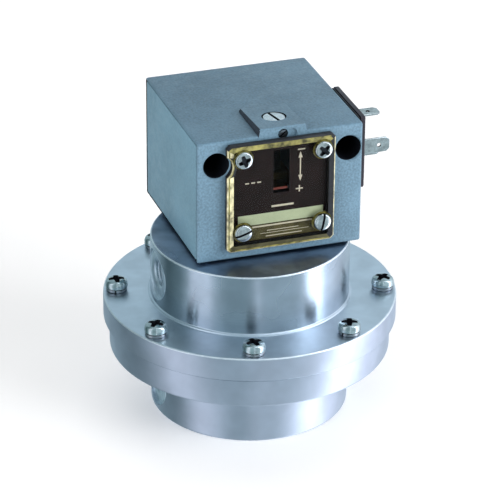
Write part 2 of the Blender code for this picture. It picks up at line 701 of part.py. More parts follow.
def build_window():
    gasket_back = FRONT - GAP
    gasket_front = gasket_back - GASKET_THICKNESS
    gasket = add_object(
        "window_gasket",
        prism(window_outline(0.2 * MM, WINDOW_CORNER), 1, gasket_front, gasket_back),
        "rubber",
    )
    opening = window_outline(GASKET_WIDTH, MM)
    cut(gasket, cutter(prism(opening, 1, gasket_front - MM, gasket_back + MM)))
    scale_front = gasket_back - SCALE_THICKNESS
    scale = add_object(
        "scale_plate",
        prism(window_outline(GASKET_WIDTH + GAP, MM), 1, scale_front, gasket_back),
        "scale_print",
    )
    slot = box(
        (SLOT_X - SLOT_WIDTH / 2, scale_front - MM, SLOT_LOW),
        (SLOT_X + SLOT_WIDTH / 2, gasket_back + MM, SLOT_HIGH),
    )
    cut(scale, cutter(slot))
    cover_back = gasket_front - GAP
    cover_front = cover_back - WINDOW_THICKNESS
    plate = prism(window_outline(0, WINDOW_CORNER), 1, cover_front, cover_back)
    bevel_edges(plate, MM, lambda edge: all(vert.co.y < cover_front + GAP for vert in edge.verts))
    cover = add_object("window_cover", plate, "clear_plastic")
    for x, z in window_screw_places():
        for target in (gasket, scale, cover):
            hole = rod(M4_RADIUS + GAP, cover_front - MM, FRONT + MM, 12, ALONG_Y)
            cut(target, cutter(hole, (x, 0, z)))
    for target in (gasket, cover):
        notch = rod(BORE_RADIUS + GAP, cover_front - MM, FRONT + MM, 24, ALONG_Y)
        cut(target, cutter(notch, (bore_places()[0], 0, BORE_Z)))
    recesses = (cross_recess, cross_recess, straight_slot, straight_slot)
    for number, ((x, z), recess) in enumerate(zip(window_screw_places(), recesses), start=1):
        add_screw(
            f"window_screw_{number}",
            (x, cover_front - GAP, z),
            (M4_HEAD_RADIUS, M4_HEAD_HEIGHT),
            (M4_RADIUS, WINDOW_SCREW_LENGTH),
            TOWARDS_FRONT,
            recess,
        )


def build_spindle():
    head_low = SPINDLE_HEAD_Z
    head_high = head_low + SPINDLE_HEAD_HEIGHT
    groove_low = RETAINER_Z - GAP
    groove_high = RETAINER_Z + RETAINER_HEIGHT + GAP
    groove_radius = SPINDLE_RADIUS - SPINDLE_GROOVE_DEPTH
    base = SPINDLE_END_Z
    profile = [
        (0, 0),
        (SPINDLE_RADIUS - 0.6 * MM, 0),
        (SPINDLE_RADIUS, 0.6 * MM),
        (SPINDLE_RADIUS, groove_low - base),
        (groove_radius, groove_low - base),
        (groove_radius, groove_high - base),
        (SPINDLE_RADIUS, groove_high - base),
        (SPINDLE_RADIUS, head_low - base),
        (SPINDLE_HEAD_RADIUS, head_low - base),
        (SPINDLE_HEAD_RADIUS, head_high - base - 0.3 * MM),
        (SPINDLE_HEAD_RADIUS - 0.3 * MM, head_high - base),
        (0, head_high - base),
    ]
    place = (SPINDLE_X, SPINDLE_Y, base)
    spindle = add_object("setting_spindle", lathe(profile, 20), "steel", place, smooth=True)
    slot = straight_slot(SPINDLE_HEAD_RADIUS, head_high - base, SPINDLE_SLOT_DEPTH)
    slot.transform(Matrix.Rotation(SPINDLE_SLOT_TURN, 4, "Z"))
    cut(spindle, cutter(slot, place))
    clip = ring(groove_radius + GAP, SPINDLE_RADIUS + 1.8 * MM, 0, RETAINER_HEIGHT, 16)
    clip_place = (SPINDLE_X, SPINDLE_Y, RETAINER_Z)
    retainer = add_object("spindle_retainer", clip, "spring_steel", clip_place, smooth=True)
    mouth = box((-1.6 * MM, 0, -MM), (1.6 * MM, 8 * MM, 2 * MM))
    cut(retainer, cutter(mouth, clip_place))


def build_running_nut():
    """The square nut on the spindle, with the pointer that reaches to the scale slot."""
    half = NUT_SIDE / 2
    place = (SPINDLE_X, SPINDLE_Y, NUT_Z)
    body = box((-half, -half, 0), (half, half, NUT_HEIGHT))
    nut = add_object("running_nut", body, "brass", place)
    centre = SLOT_X - SPINDLE_X
    tip = FRONT + 0.2 * MM - SPINDLE_Y
    foot = POINTER_Z - NUT_Z
    pointer = box(
        (centre - POINTER_WIDTH / 2, tip, foot),
        (centre + POINTER_WIDTH / 2, -half + MM, foot + POINTER_THICKNESS),
    )
    join(nut, cutter(pointer, place))
    cut(nut, cutter(rod(SPINDLE_RADIUS + GAP, -MM, NUT_HEIGHT + MM, 24), place))


def build_spring():
    """A round-wire compression spring between the lever's seat and the running nut."""
    low = SPRING_LOW_Z + SPRING_WIRE
    high = NUT_Z - GAP - SPRING_WIRE
    per_turn = 10
    sides = 5
    count = SPRING_TURNS * per_turn
    slope = math.atan2((high - low) / SPRING_TURNS, 2 * math.pi * SPRING_RADIUS)
    bm = bmesh.new()
    loops = []
    for i in range(count + 1):
        angle = 2 * math.pi * i / per_turn
        centre = Vector((SPRING_RADIUS * math.cos(angle), SPRING_RADIUS * math.sin(angle), 0))
        centre.z = low + (high - low) * i / count - SPRING_LOW_Z
        outward = Vector((math.cos(angle), math.sin(angle), 0))
        forward = Vector((-math.sin(angle), math.cos(angle), 0))
        along = forward * math.cos(slope) + Vector((0, 0, math.sin(slope)))
        across = outward.cross(along)
        loop = []
        for k in range(sides):
            a = 2 * math.pi * k / sides
            offset = outward * math.cos(a) + across * math.sin(a)
            loop.append(bm.verts.new(centre + offset * SPRING_WIRE))
        loops.append(loop)
    for first, second in zip(loops, loops[1:]):
        for k in range(sides):
            j = (k + 1) % sides
            bm.faces.new((first[k], first[j], second[j], second[k]))
    bm.faces.new(loops[0])
    bm.faces.new(loops[-1])
    add_object("setting_spring", bm, "spring_steel", (SPINDLE_X, SPINDLE_Y, SPRING_LOW_Z), smooth=True)


def build_locking_screw():
    outer = FRONT + LOCK_DEPTH
    inner = SPINDLE_Y - SPINDLE_HEAD_RADIUS - GAP
    place = (SPINDLE_X, outer, LOCK_Z)
    length = inner - LOCK_PAD_LENGTH - GAP - outer
    grub = rod(M4_RADIUS, 0, length, 20, ALONG_Y)
    screw = add_object("locking_screw", grub, "steel", place, smooth=True)
    slot = box((-1.2 * M4_RADIUS, -MM, -0.35 * MM), (1.2 * M4_RADIUS, 0.9 * MM, 0.35 * MM))
    slot.transform(Matrix.Rotation(LOCK_SLOT_TURN, 4, "Y"))
    cut(screw, cutter(slot, place))
    pad = rod(M4_RADIUS - 0.2 * MM, 0, LOCK_PAD_LENGTH, 16, ALONG_Y)
    pad_place = (SPINDLE_X, inner - LOCK_PAD_LENGTH, LOCK_Z)
    add_object("locking_pad", pad, "brass", pad_place, smooth=True)


def bracket_screw_places():
    """(x, y) of the two screws that hold the pivot bracket to the floor."""
    left = BRIDGE_LEFT + BRACKET_SCREW_INSET
    right = BRIDGE_RIGHT - BRACKET_SCREW_INSET
    return [(left, BRACKET_SCREW_Y), (right, BRACKET_SCREW_Y)]


def switch_screw_places():
    """(y, z) of the two screws that hold the microswitch to the bracket's ear."""
    front = SWITCH_FRONT + SWITCH_SCREW_INSET
    back = SWITCH_FRONT + SWITCH_LENGTH - SWITCH_SCREW_INSET
    return [(y, SWITCH_SCREW_Z) for y in (front, back)]


def build_bridge():
    """The lever: a plate with two lugs that hang on the pivot pin at its back end."""
    place = (0, PIVOT_Y, PIVOT_Z)
    top = BRIDGE_Z + BRIDGE_THICKNESS
    plate = box((BRIDGE_LEFT, BRIDGE_FRONT, BRIDGE_Z), (BRIDGE_RIGHT, BRIDGE_REAR, top))
    plate.transform(Matrix.Translation(-Vector(place)))
    bridge = add_object("switching_bridge", plate, "steel", place)
    outline = [
        (BRIDGE_REAR - 4 * MM, top),
        (PIVOT_Y + 3 * MM, top),
        (PIVOT_Y + 4 * MM, top - MM),
        (PIVOT_Y + 4 * MM, PIVOT_Z - 3 * MM),
        (BRIDGE_REAR, PIVOT_Z - 3 * MM),
        (BRIDGE_REAR - 4 * MM, BRIDGE_Z - MM),
    ]
    for low in (BRIDGE_LEFT, BRIDGE_RIGHT - SHEET):
        join(bridge, cutter(prism(outline, 0, low, low + SHEET)))
    hole = rod(PIVOT_RADIUS + GAP, BRIDGE_LEFT - MM, BRIDGE_RIGHT + MM, 16, ALONG_X)
    cut(bridge, cutter(hole, place))
    calibration_hole = rod(M3_RADIUS + GAP, BRIDGE_Z - MM, top + MM, 16)
    cut(bridge, cutter(calibration_hole, (PLUNGER_X, PLUNGER_Y, 0)))
    add_screw(
        "calibration_screw",
        (PLUNGER_X, PLUNGER_Y, PLUNGER_Z - GAP - M3_HEAD_HEIGHT),
        (M3_HEAD_RADIUS, M3_HEAD_HEIGHT),
        (M3_RADIUS, CALIBRATION_SCREW_LENGTH),
        recess=straight_slot,
        segments=12,
    )
    seat_low = top + GAP
    seat = [
        (0, seat_low),
        (SPRING_RADIUS + MM, seat_low),
        (SPRING_RADIUS + MM, seat_low + SEAT_HEIGHT),
        (SPRING_RADIUS - 1.5 * MM, seat_low + SEAT_HEIGHT),
        (SPRING_RADIUS - 2 * MM, seat_low + 3.6 * MM),
        (0, seat_low + 3.6 * MM),
    ]
    add_object("spring_seat", lathe(seat, 16), "brass", (SPINDLE_X, SPINDLE_Y, 0), smooth=True)


def build_bracket():
    """The pivot bracket on the housing floor. Its left ear also carries the microswitch."""
    low = FLOOR_Z + GAP
    left_ear = (BRIDGE_LEFT - EAR_GAP - SHEET, BRIDGE_LEFT - EAR_GAP)
    right_ear = (BRIDGE_RIGHT + EAR_GAP, BRIDGE_RIGHT + EAR_GAP + SHEET)
    base = box((left_ear[0], BRACKET_FRONT, low), (right_ear[1], BRACKET_BACK, low + SHEET))
    bracket = add_object("pivot_bracket", base, "steel")
    small = [(BRACKET_FRONT, low), (EAR_BACK, low), (EAR_BACK, EAR_TOP), (BRACKET_FRONT, EAR_TOP)]
    arm_low = SWITCH_Z + MM
    arm_high = SWITCH_Z + SWITCH_HEIGHT
    tall = [
        (BRACKET_FRONT, low),
        (EAR_BACK, low),
        (EAR_BACK, EAR_TOP),
        (SWITCH_FRONT + SWITCH_LENGTH, arm_high),
        (SWITCH_FRONT, arm_high),
        (SWITCH_FRONT, arm_low),
        (BRACKET_FRONT - 3 * MM, arm_low),
        (BRACKET_FRONT, EAR_TOP),
    ]
    join(bracket, cutter(prism(tall, 0, *left_ear)), cutter(prism(small, 0, *right_ear)))
    hole = rod(PIVOT_RADIUS + GAP, left_ear[0] - MM, right_ear[1] + MM, 16, ALONG_X)
    cut(bracket, cutter(hole, (0, PIVOT_Y, PIVOT_Z)))
    head = 0.8 * MM
    pin = [
        (0, left_ear[0] - GAP - head),
        (PIVOT_RADIUS + MM, left_ear[0] - GAP - head),
        (PIVOT_RADIUS + MM, left_ear[0] - GAP),
        (PIVOT_RADIUS, left_ear[0] - GAP),
        (PIVOT_RADIUS, right_ear[1] + MM),
        (0, right_ear[1] + MM),
    ]
    add_object("pivot_pin", lathe(pin, 16, ALONG_X), "steel", (0, PIVOT_Y, PIVOT_Z), smooth=True)
    for number, (x, y) in enumerate(bracket_screw_places(), start=1):
        cut(bracket, cutter(rod(M3_RADIUS + GAP, low - MM, low + 2 * SHEET, 12), (x, y, 0)))
        add_screw(
            f"bracket_screw_{number}",
            (x, y, low + SHEET + GAP),
            (M3_HEAD_RADIUS, M3_HEAD_HEIGHT),
            (M3_RADIUS, BRACKET_SCREW_LENGTH),
            segments=12,
        )
    for y, z in switch_screw_places():
        hole = rod(M3_RADIUS + GAP, left_ear[0] - MM, left_ear[1] + MM, 12, ALONG_X)
        cut(bracket, cutter(hole, (0, y, z)))


def build_microswitch():
    right = SWITCH_LEFT + SWITCH_WIDTH
    case = box(
        (SWITCH_LEFT, SWITCH_FRONT, SWITCH_Z),
        (right, SWITCH_FRONT + SWITCH_LENGTH, SWITCH_Z + SWITCH_HEIGHT),
    )
    bevel_edges(case, 0.6 * MM, lambda edge: lies_along(edge, 0))
    body = add_object("microswitch_body", case, "black_plastic")
    stroke_room = 5 * MM
    well = rod(PIVOT_RADIUS + GAP, SWITCH_Z - MM, SWITCH_Z + stroke_room, 16)
    cut(body, cutter(well, (PLUNGER_X, PLUNGER_Y, 0)))
    for y, z in switch_screw_places():
        cut(body, cutter(rod(M3_RADIUS + GAP, SWITCH_LEFT - MM, right + MM, 12, ALONG_X), (0, y, z)))
    for number, (y, z) in enumerate(switch_screw_places(), start=1):
        add_screw(
            f"microswitch_screw_{number}",
            (right + GAP, y, z),
            (M3_HEAD_RADIUS, M3_HEAD_HEIGHT),
            (M3_RADIUS, SWITCH_SCREW_LENGTH),
            ALONG_X,
            segments=12,
        )
    profile = [
        (0, 0),
        (PIVOT_RADIUS * 0.6, 0),
        (PIVOT_RADIUS, 0.5 * MM),
        (PIVOT_RADIUS, PLUNGER_HEIGHT),
        (0, PLUNGER_HEIGHT),
    ]
    place = (PLUNGER_X, PLUNGER_Y, PLUNGER_Z)
    add_object("microswitch_plunger", lathe(profile, 16), "white_plastic", place, smooth=True)


def plug_screw_places():
    """(y, z) of the two screws that hold the plug base, on one diagonal."""
    reach_y = PLUG_HALF_Y - PLUG_SCREW_INSET
    reach_z = PLUG_HALF_Z - PLUG_SCREW_INSET
    return ((PLUG_Y - reach_y, PLUG_Z - reach_z), (PLUG_Y + reach_y, PLUG_Z + reach_z))


def build_plug():
    gasket_left = RIGHT + GAP
    gasket_right = gasket_left + PLUG_GASKET_THICKNESS
    base_left = gasket_right + GAP
    base_right = base_left + PLUG_THICKNESS

    def plate(left, right, inset):
        bm = box(
            (left, PLUG_Y - PLUG_HALF_Y + inset, PLUG_Z - PLUG_HALF_Z + inset),
            (right, PLUG_Y + PLUG_HALF_Y - inset, PLUG_Z + PLUG_HALF_Z - inset),
        )
        bevel_edges(bm, PLUG_CORNER, lambda edge: lies_along(edge, 0))
        return bm

    gasket = add_object("plug_gasket", plate(gasket_left, gasket_right, 0.3 * MM), "rubber")
    base = add_object("plug_base", plate(base_left, base_right, 0), "black_plastic")
    window = box(
        (gasket_left - MM, PLUG_Y - LEAD_WINDOW_HALF - MM, PLUG_Z - LEAD_WINDOW_LOW - MM),
        (gasket_right + MM, PLUG_Y + LEAD_WINDOW_HALF + MM, PLUG_Z - LEAD_WINDOW_HIGH + MM),
    )
    cut(gasket, cutter(window))
    centre_hole = rod(PLUG_CENTRE_HOLE_RADIUS, base_left - MM, base_right + MM, 16, ALONG_X)
    cut(base, cutter(centre_hole, (0, BLADES_Y, BLADES_Z)))
    for number, (y, z) in enumerate(plug_screw_places(), start=1):
        hole = rod(M3_RADIUS + GAP, gasket_left - MM, base_right + MM, 12, ALONG_X)
        for target in (gasket, base):
            cut(target, cutter(hole.copy(), (0, y, z)))
        hole.free()
        sink = rod(M3_HEAD_RADIUS + GAP, base_right - PLUG_SCREW_SINK, base_right + MM, 16, ALONG_X)
        cut(base, cutter(sink, (0, y, z)))
        add_screw(
            f"plug_screw_{number}",
            (base_right - PLUG_SCREW_SINK + GAP, y, z),
            (M3_HEAD_RADIUS, PLUG_SCREW_SINK - GAP),
            (M3_RADIUS, PLUG_SCREW_LENGTH),
            ALONG_X,
            segments=12,
        )
    add_blade("contact_blade_1", base, (0, CONTACT_REACH), base_left, base_right)
    add_blade("earth_blade", base, (90, EARTH_REACH), base_left, base_right)
    add_blade("contact_blade_2", base, (180, CONTACT_REACH), base_left, base_right)


def add_blade(name, base, turn_and_reach, base_left, base_right):
    """A flat blade, broad side towards the middle: turn 0 is above the middle, 90 in front, 180 below."""
    degrees, reach = turn_and_reach
    turn = Matrix.Rotation(math.radians(degrees), 4, "X")
    half = BLADE_WIDTH / 2
    start = base_left + 0.2 * MM
    end = start + BLADE_LENGTH
    low = reach - BLADE_THICKNESS / 2
    upper_edge = [(end, half - BLADE_TIP), (end - BLADE_TIP, half), (start, half)]
    outline = [(x, -y) for x, y in reversed(upper_edge)] + upper_edge
    place = (0, BLADES_Y, BLADES_Z)
    flat = prism(outline, 2, low, low + BLADE_THICKNESS)
    flat.transform(turn)
    blade = add_object(name, flat, "steel", place)
    eye = rod(BLADE_HOLE_RADIUS, low - MM, low + 2 * MM, 12)
    eye.transform(turn @ Matrix.Translation((end - BLADE_HOLE_INSET, 0, 0)))
    cut(blade, cutter(eye, place))
    socket = box(
        (base_left - MM, -half - GAP, low - GAP),
        (base_right + MM, half + GAP, low + BLADE_THICKNESS + GAP),
    )
    socket.transform(turn)
    cut(base, cutter(socket, place))


def main():
    clear_scene()
    build_lower_chamber()
    build_upper_chamber()
    build_diaphragm()
    build_diaphragm_stack()
    build_flange_fasteners()
    build_housing()
    build_side_cover()
    build_stem_nut()
    build_window()
    build_spindle()
    build_running_nut()
    build_spring()
    build_locking_screw()
    build_bridge()
    build_bracket()
    build_microswitch()
    build_plug()


main()
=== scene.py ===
"""Looks of the differential pressure switch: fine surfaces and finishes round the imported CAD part."""

import json
import math

import bmesh
import bpy
from mathutils import Matrix, Vector


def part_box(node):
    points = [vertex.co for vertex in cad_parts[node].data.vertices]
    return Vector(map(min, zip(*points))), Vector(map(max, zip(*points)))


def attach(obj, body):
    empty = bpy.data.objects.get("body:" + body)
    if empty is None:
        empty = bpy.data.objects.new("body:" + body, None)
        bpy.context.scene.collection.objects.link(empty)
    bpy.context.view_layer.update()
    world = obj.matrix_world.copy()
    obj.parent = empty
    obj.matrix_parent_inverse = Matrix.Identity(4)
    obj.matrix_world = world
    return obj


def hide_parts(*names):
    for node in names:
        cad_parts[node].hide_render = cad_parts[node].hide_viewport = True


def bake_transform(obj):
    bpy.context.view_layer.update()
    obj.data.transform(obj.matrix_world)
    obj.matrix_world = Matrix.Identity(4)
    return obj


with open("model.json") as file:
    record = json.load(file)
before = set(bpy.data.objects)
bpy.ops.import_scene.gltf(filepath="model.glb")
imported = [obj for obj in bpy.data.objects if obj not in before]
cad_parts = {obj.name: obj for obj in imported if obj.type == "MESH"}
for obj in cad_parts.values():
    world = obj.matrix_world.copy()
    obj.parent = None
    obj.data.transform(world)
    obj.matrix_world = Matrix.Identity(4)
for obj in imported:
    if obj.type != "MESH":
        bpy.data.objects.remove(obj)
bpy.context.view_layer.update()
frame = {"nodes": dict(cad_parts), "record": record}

MM = 0.001
GAP = 0.3 * MM
SOFT_EDGE = math.radians(32)  # turned faces that meet at less than this are shaded as one

# Turned chambers, about Z
DRUM = 44.0 * MM
DRUM_HEIGHT = 28.0 * MM
LOWER_FLANGE = 62.4 * MM
UPPER_FLANGE = 65.0 * MM
UPPER_FLANGE_HEIGHT = 10.8 * MM
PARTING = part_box("lower_chamber")[1].z
UPPER_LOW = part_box("upper_chamber")[0].z
FLANGE_TOP = UPPER_LOW + UPPER_FLANGE_HEIGHT
DRUM_TOP = FLANGE_TOP + DRUM_HEIGHT
TURNED_SEGMENTS = 160
STEM_RADIUS = 9.0 * MM
BUSH_HOLE = 7.3 * MM
PIN_HOLE = 3.9 * MM
STEM_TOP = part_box("upper_chamber")[1].z
CAVITY = 40.0 * MM
CAVITY_DEPTH = 6.5 * MM
SCREW_CIRCLE = 59.0 * MM
SCREW_HOLE = 2.8 * MM
FIRST_SCREW_DEGREES = -107
CHANNEL_X = -28 * MM
CHANNEL_RADIUS = 2.5 * MM
PORT_FACE_X = -42.4 * MM
PORT_END_X = PORT_FACE_X + 19.0 * MM
SPOT_RADIUS = 11.5 * MM
THREAD_ROOT = 6.35 * MM
THREAD_CREST = 5.65 * MM
THREAD_PITCH = 1.337 * MM
PORT_HEIGHTS = (DRUM_HEIGHT / 2, FLANGE_TOP + DRUM_HEIGHT / 2)

# Switch housing
HOUSING_LOW, HOUSING_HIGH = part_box("switch_housing")
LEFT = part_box("side_cover")[0].x
RIGHT = HOUSING_HIGH.x
FRONT = HOUSING_LOW.y
BACK = HOUSING_HIGH.y
FLOOR = HOUSING_LOW.z
HOUSING_HEIGHT = 56.5 * MM
TOP = FLOOR + HOUSING_HEIGHT
WALL = 3.5 * MM
FRONT_WALL = 5.0 * MM
LIP = 0.6 * MM
COVER_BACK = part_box("side_cover")[1].x
BORES = (-23.6 * MM, 36.0 * MM)
BORE_Z = 127.0 * MM
BORE_RADIUS = 5.8 * MM
BORE_WALL = 1.7 * MM
WALL_SCREW_HOLE = 2.75 * MM
PAD_X = 6.0 * MM
PAD_HALF = 10.5 * MM
PAD_BACK = 2.5 * MM
PAD_RISE = 3.1 * MM
PAD_BACK_RISE = 1.3 * MM
PAD_LEAN = 0.8 * MM

# Scale window
WINDOW_LOW, WINDOW_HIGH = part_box("window_cover")
WINDOW_CORNER = 1.5 * MM
NOTCH = BORE_RADIUS + GAP
COVER_FRONT_Y, COVER_BACK_Y = WINDOW_LOW.y, WINDOW_HIGH.y
GASKET_FRONT_Y, GASKET_BACK_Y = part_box("window_gasket")[0].y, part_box("window_gasket")[1].y
SCALE_FRONT_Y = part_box("scale_plate")[0].y
LABEL_INSET = 3.1 * MM
GASKET_WIDTH = 2.8 * MM
SCREW_THROUGH = 2.3 * MM
SLOT = (1.7 * MM, 8.9 * MM, 110.9 * MM, 131.1 * MM)

# Setting spindle and its locking screw
SPINDLE = Vector((6.5 * MM, -11.0 * MM, 0))
SPINDLE_HEAD = 4.85 * MM
SPINDLE_HEAD_HEIGHT = 3.3 * MM
SPINDLE_RADIUS = 3.0 * MM
SPINDLE_ROOT = 2.6 * MM
SPINDLE_GROOVE = 2.2 * MM
SPINDLE_SLOT_TURN = math.radians(-77)
NUT_HALF = 5.8 * MM
POINTER_X = 5.3 * MM
POINTER_HALF = 3.2 * MM
POINTER_LEVELS = (112.0 * MM, 113.0 * MM)
LOCK_X, LOCK_Z = 6.5 * MM, TOP - 0.6 * MM
LOCK_RADIUS = 1.98 * MM
LOCK_PITCH = 0.7 * MM
LOCK_SLOT_TURN = math.radians(-40)
RECESS_RADIUS = 2.7 * MM
RECESS_RUN = 3.4 * MM

# Plug base, and how many degrees each blade is turned about X
PLUG_MIDDLE = (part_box("plug_base")[0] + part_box("plug_base")[1]) / 2
BLADE_TURNS = {"contact_blade_1": 0, "earth_blade": 90, "contact_blade_2": 180}
BLADES_MIDDLE = Vector((0, 1.7 * MM, 120.8 * MM))
M3_HOLE = 1.75 * MM
M3_HEAD_HOLE = 3.05 * MM
M3_HEAD_SINK = 1.2 * MM
CENTRE_HOLE = 1.5 * MM

# Pan-head screws: head radius, head height, shank radius and length
M5_SCREW = (5.0 * MM, 3.7 * MM, 2.5 * MM, 21 * MM)
M4_SCREW = (4.0 * MM, 2.1 * MM, 2.0 * MM, 7.4 * MM)

ALONG_X = Matrix.Rotation(math.radians(90), 4, "Y")
ALONG_Y = Matrix.Rotation(math.radians(-90), 4, "X")
TOWARDS_FRONT = Matrix.Rotation(math.radians(90), 4, "X")


# ---------------------------------------------------------------- materials


def add_node(tree, kind, inputs=None, **settings):
    """A shader node with its settings, and its inputs given as values or as sockets to link from."""
    node = tree.nodes.new(kind)
    for key, value in settings.items():
        setattr(node, key, value)
    for key, value in (inputs or {}).items():
        if isinstance(value, bpy.types.NodeSocket):
            tree.links.new(value, node.inputs[key])
        else:
            node.inputs[key].default_value = value
    return node


def maths(tree, operation, first, second=0.0):
    return add_node(tree, "ShaderNodeMath", {0: first, 1: second}, operation=operation).outputs[0]


def spread(tree, value, low, high, start=0.3, end=0.7):
    """The value, mapped from the range it mostly lies in to low..high."""
    inputs = {"Value": value, "From Min": start, "From Max": end, "To Min": low, "To Max": high}
    return add_node(tree, "ShaderNodeMapRange", inputs).outputs[0]


def noise(tree, where, scale, detail=3.0):
    inputs = {"Vector": where, "Scale": scale, "Detail": detail}
    return add_node(tree, "ShaderNodeTexNoise", inputs).outputs["Fac"]


def groove_noise(tree, where):
    """Fine random rings: the marks a lathe leaves on a face or a side turned about Z."""
    parts = add_node(tree, "ShaderNodeSeparateXYZ", {0: where})
    x, y, z = parts.outputs
    squares = maths(tree, "ADD", maths(tree, "MULTIPLY", x, x), maths(tree, "MULTIPLY", y, y))
    radius = maths(tree, "SQRT", squares)
    along = maths(tree, "ADD", radius, z)
    inputs = {"W": along, "Scale": 1900.0, "Detail": 4.0}
    return add_node(tree, "ShaderNodeTexNoise", inputs, noise_dimensions="1D").outputs["Fac"]


def surface(
    name, colour, roughness, metallic=0.0, tint=0.1, grain=600.0, bump=0.05, wear=0.06, turned=0.0, **extra
):
    """A finish with uneven colour, uneven roughness and fine relief. extra sets other Principled inputs."""
    made = bpy.data.materials.new(name)
    made.use_nodes = True
    tree = made.node_tree
    shader = tree.nodes["Principled BSDF"]
    where = add_node(tree, "ShaderNodeTexCoord").outputs["Object"]
    broad = noise(tree, where, 45.0)
    fine = noise(tree, where, grain, 2.0)
    low = tuple(part * (1 - tint) for part in colour)
    high = tuple(min(1.0, part * (1 + tint)) for part in colour)
    both = maths(tree, "ADD", maths(tree, "MULTIPLY", broad, 0.4), maths(tree, "MULTIPLY", fine, 0.6))
    mixed = add_node(
        tree,
        "ShaderNodeMix",
        {"Factor": spread(tree, both, 0.0, 1.0, 0.38, 0.62), "A": (*low, 1.0), "B": (*high, 1.0)},
        data_type="RGBA",
    )
    tree.links.new(mixed.outputs["Result"], shader.inputs["Base Color"])
    rough = spread(tree, noise(tree, where, grain * 0.3), roughness - wear, roughness + wear)
    tree.links.new(rough, shader.inputs["Roughness"])
    relief = groove_noise(tree, where) if turned else fine
    bumped = add_node(tree, "ShaderNodeBump", {"Height": relief, "Strength": bump, "Distance": 0.25 * MM})
    tree.links.new(bumped.outputs[0], shader.inputs["Normal"])
    shader.inputs["Metallic"].default_value = metallic
    for key, value in extra.items():
        shader.inputs[key.replace("_", " ")].default_value = value
    if turned:
        shader.inputs["Anisotropic"].default_value = turned
        shader.inputs["Anisotropic Rotation"].default_value = 0.25
        tangent = add_node(tree, "ShaderNodeTangent", direction_type="RADIAL", axis="Z")
        tree.links.new(tangent.outputs[0], shader.inputs["Tangent"])
    return made


def see_through(name, colour):
    """Clear plastic for a thin pane: mostly lets light straight through, and mirrors at glancing angles."""
    made = bpy.data.materials.new(name)
    made.use_nodes = True
    tree = made.node_tree
    tree.nodes.remove(tree.nodes["Principled BSDF"])
    where = add_node(tree, "ShaderNodeTexCoord").outputs["Object"]
    smears = spread(tree, noise(tree, where, 120.0), 0.03, 0.1)
    clear = add_node(tree, "ShaderNodeBsdfTransparent", {"Color": (*colour, 1.0)})
    gloss = add_node(tree, "ShaderNodeBsdfGlossy", {"Color": (1, 1, 1, 1), "Roughness": smears})
    share = add_node(tree, "ShaderNodeFresnel", {"IOR": 1.12})
    shaders = {0: share.outputs[0], 1: clear.outputs[0], 2: gloss.outputs[0]}
    mixed = add_node(tree, "ShaderNodeMixShader", shaders)
    tree.links.new(mixed.outputs[0], tree.nodes["Material Output"].inputs["Surface"])
    return made


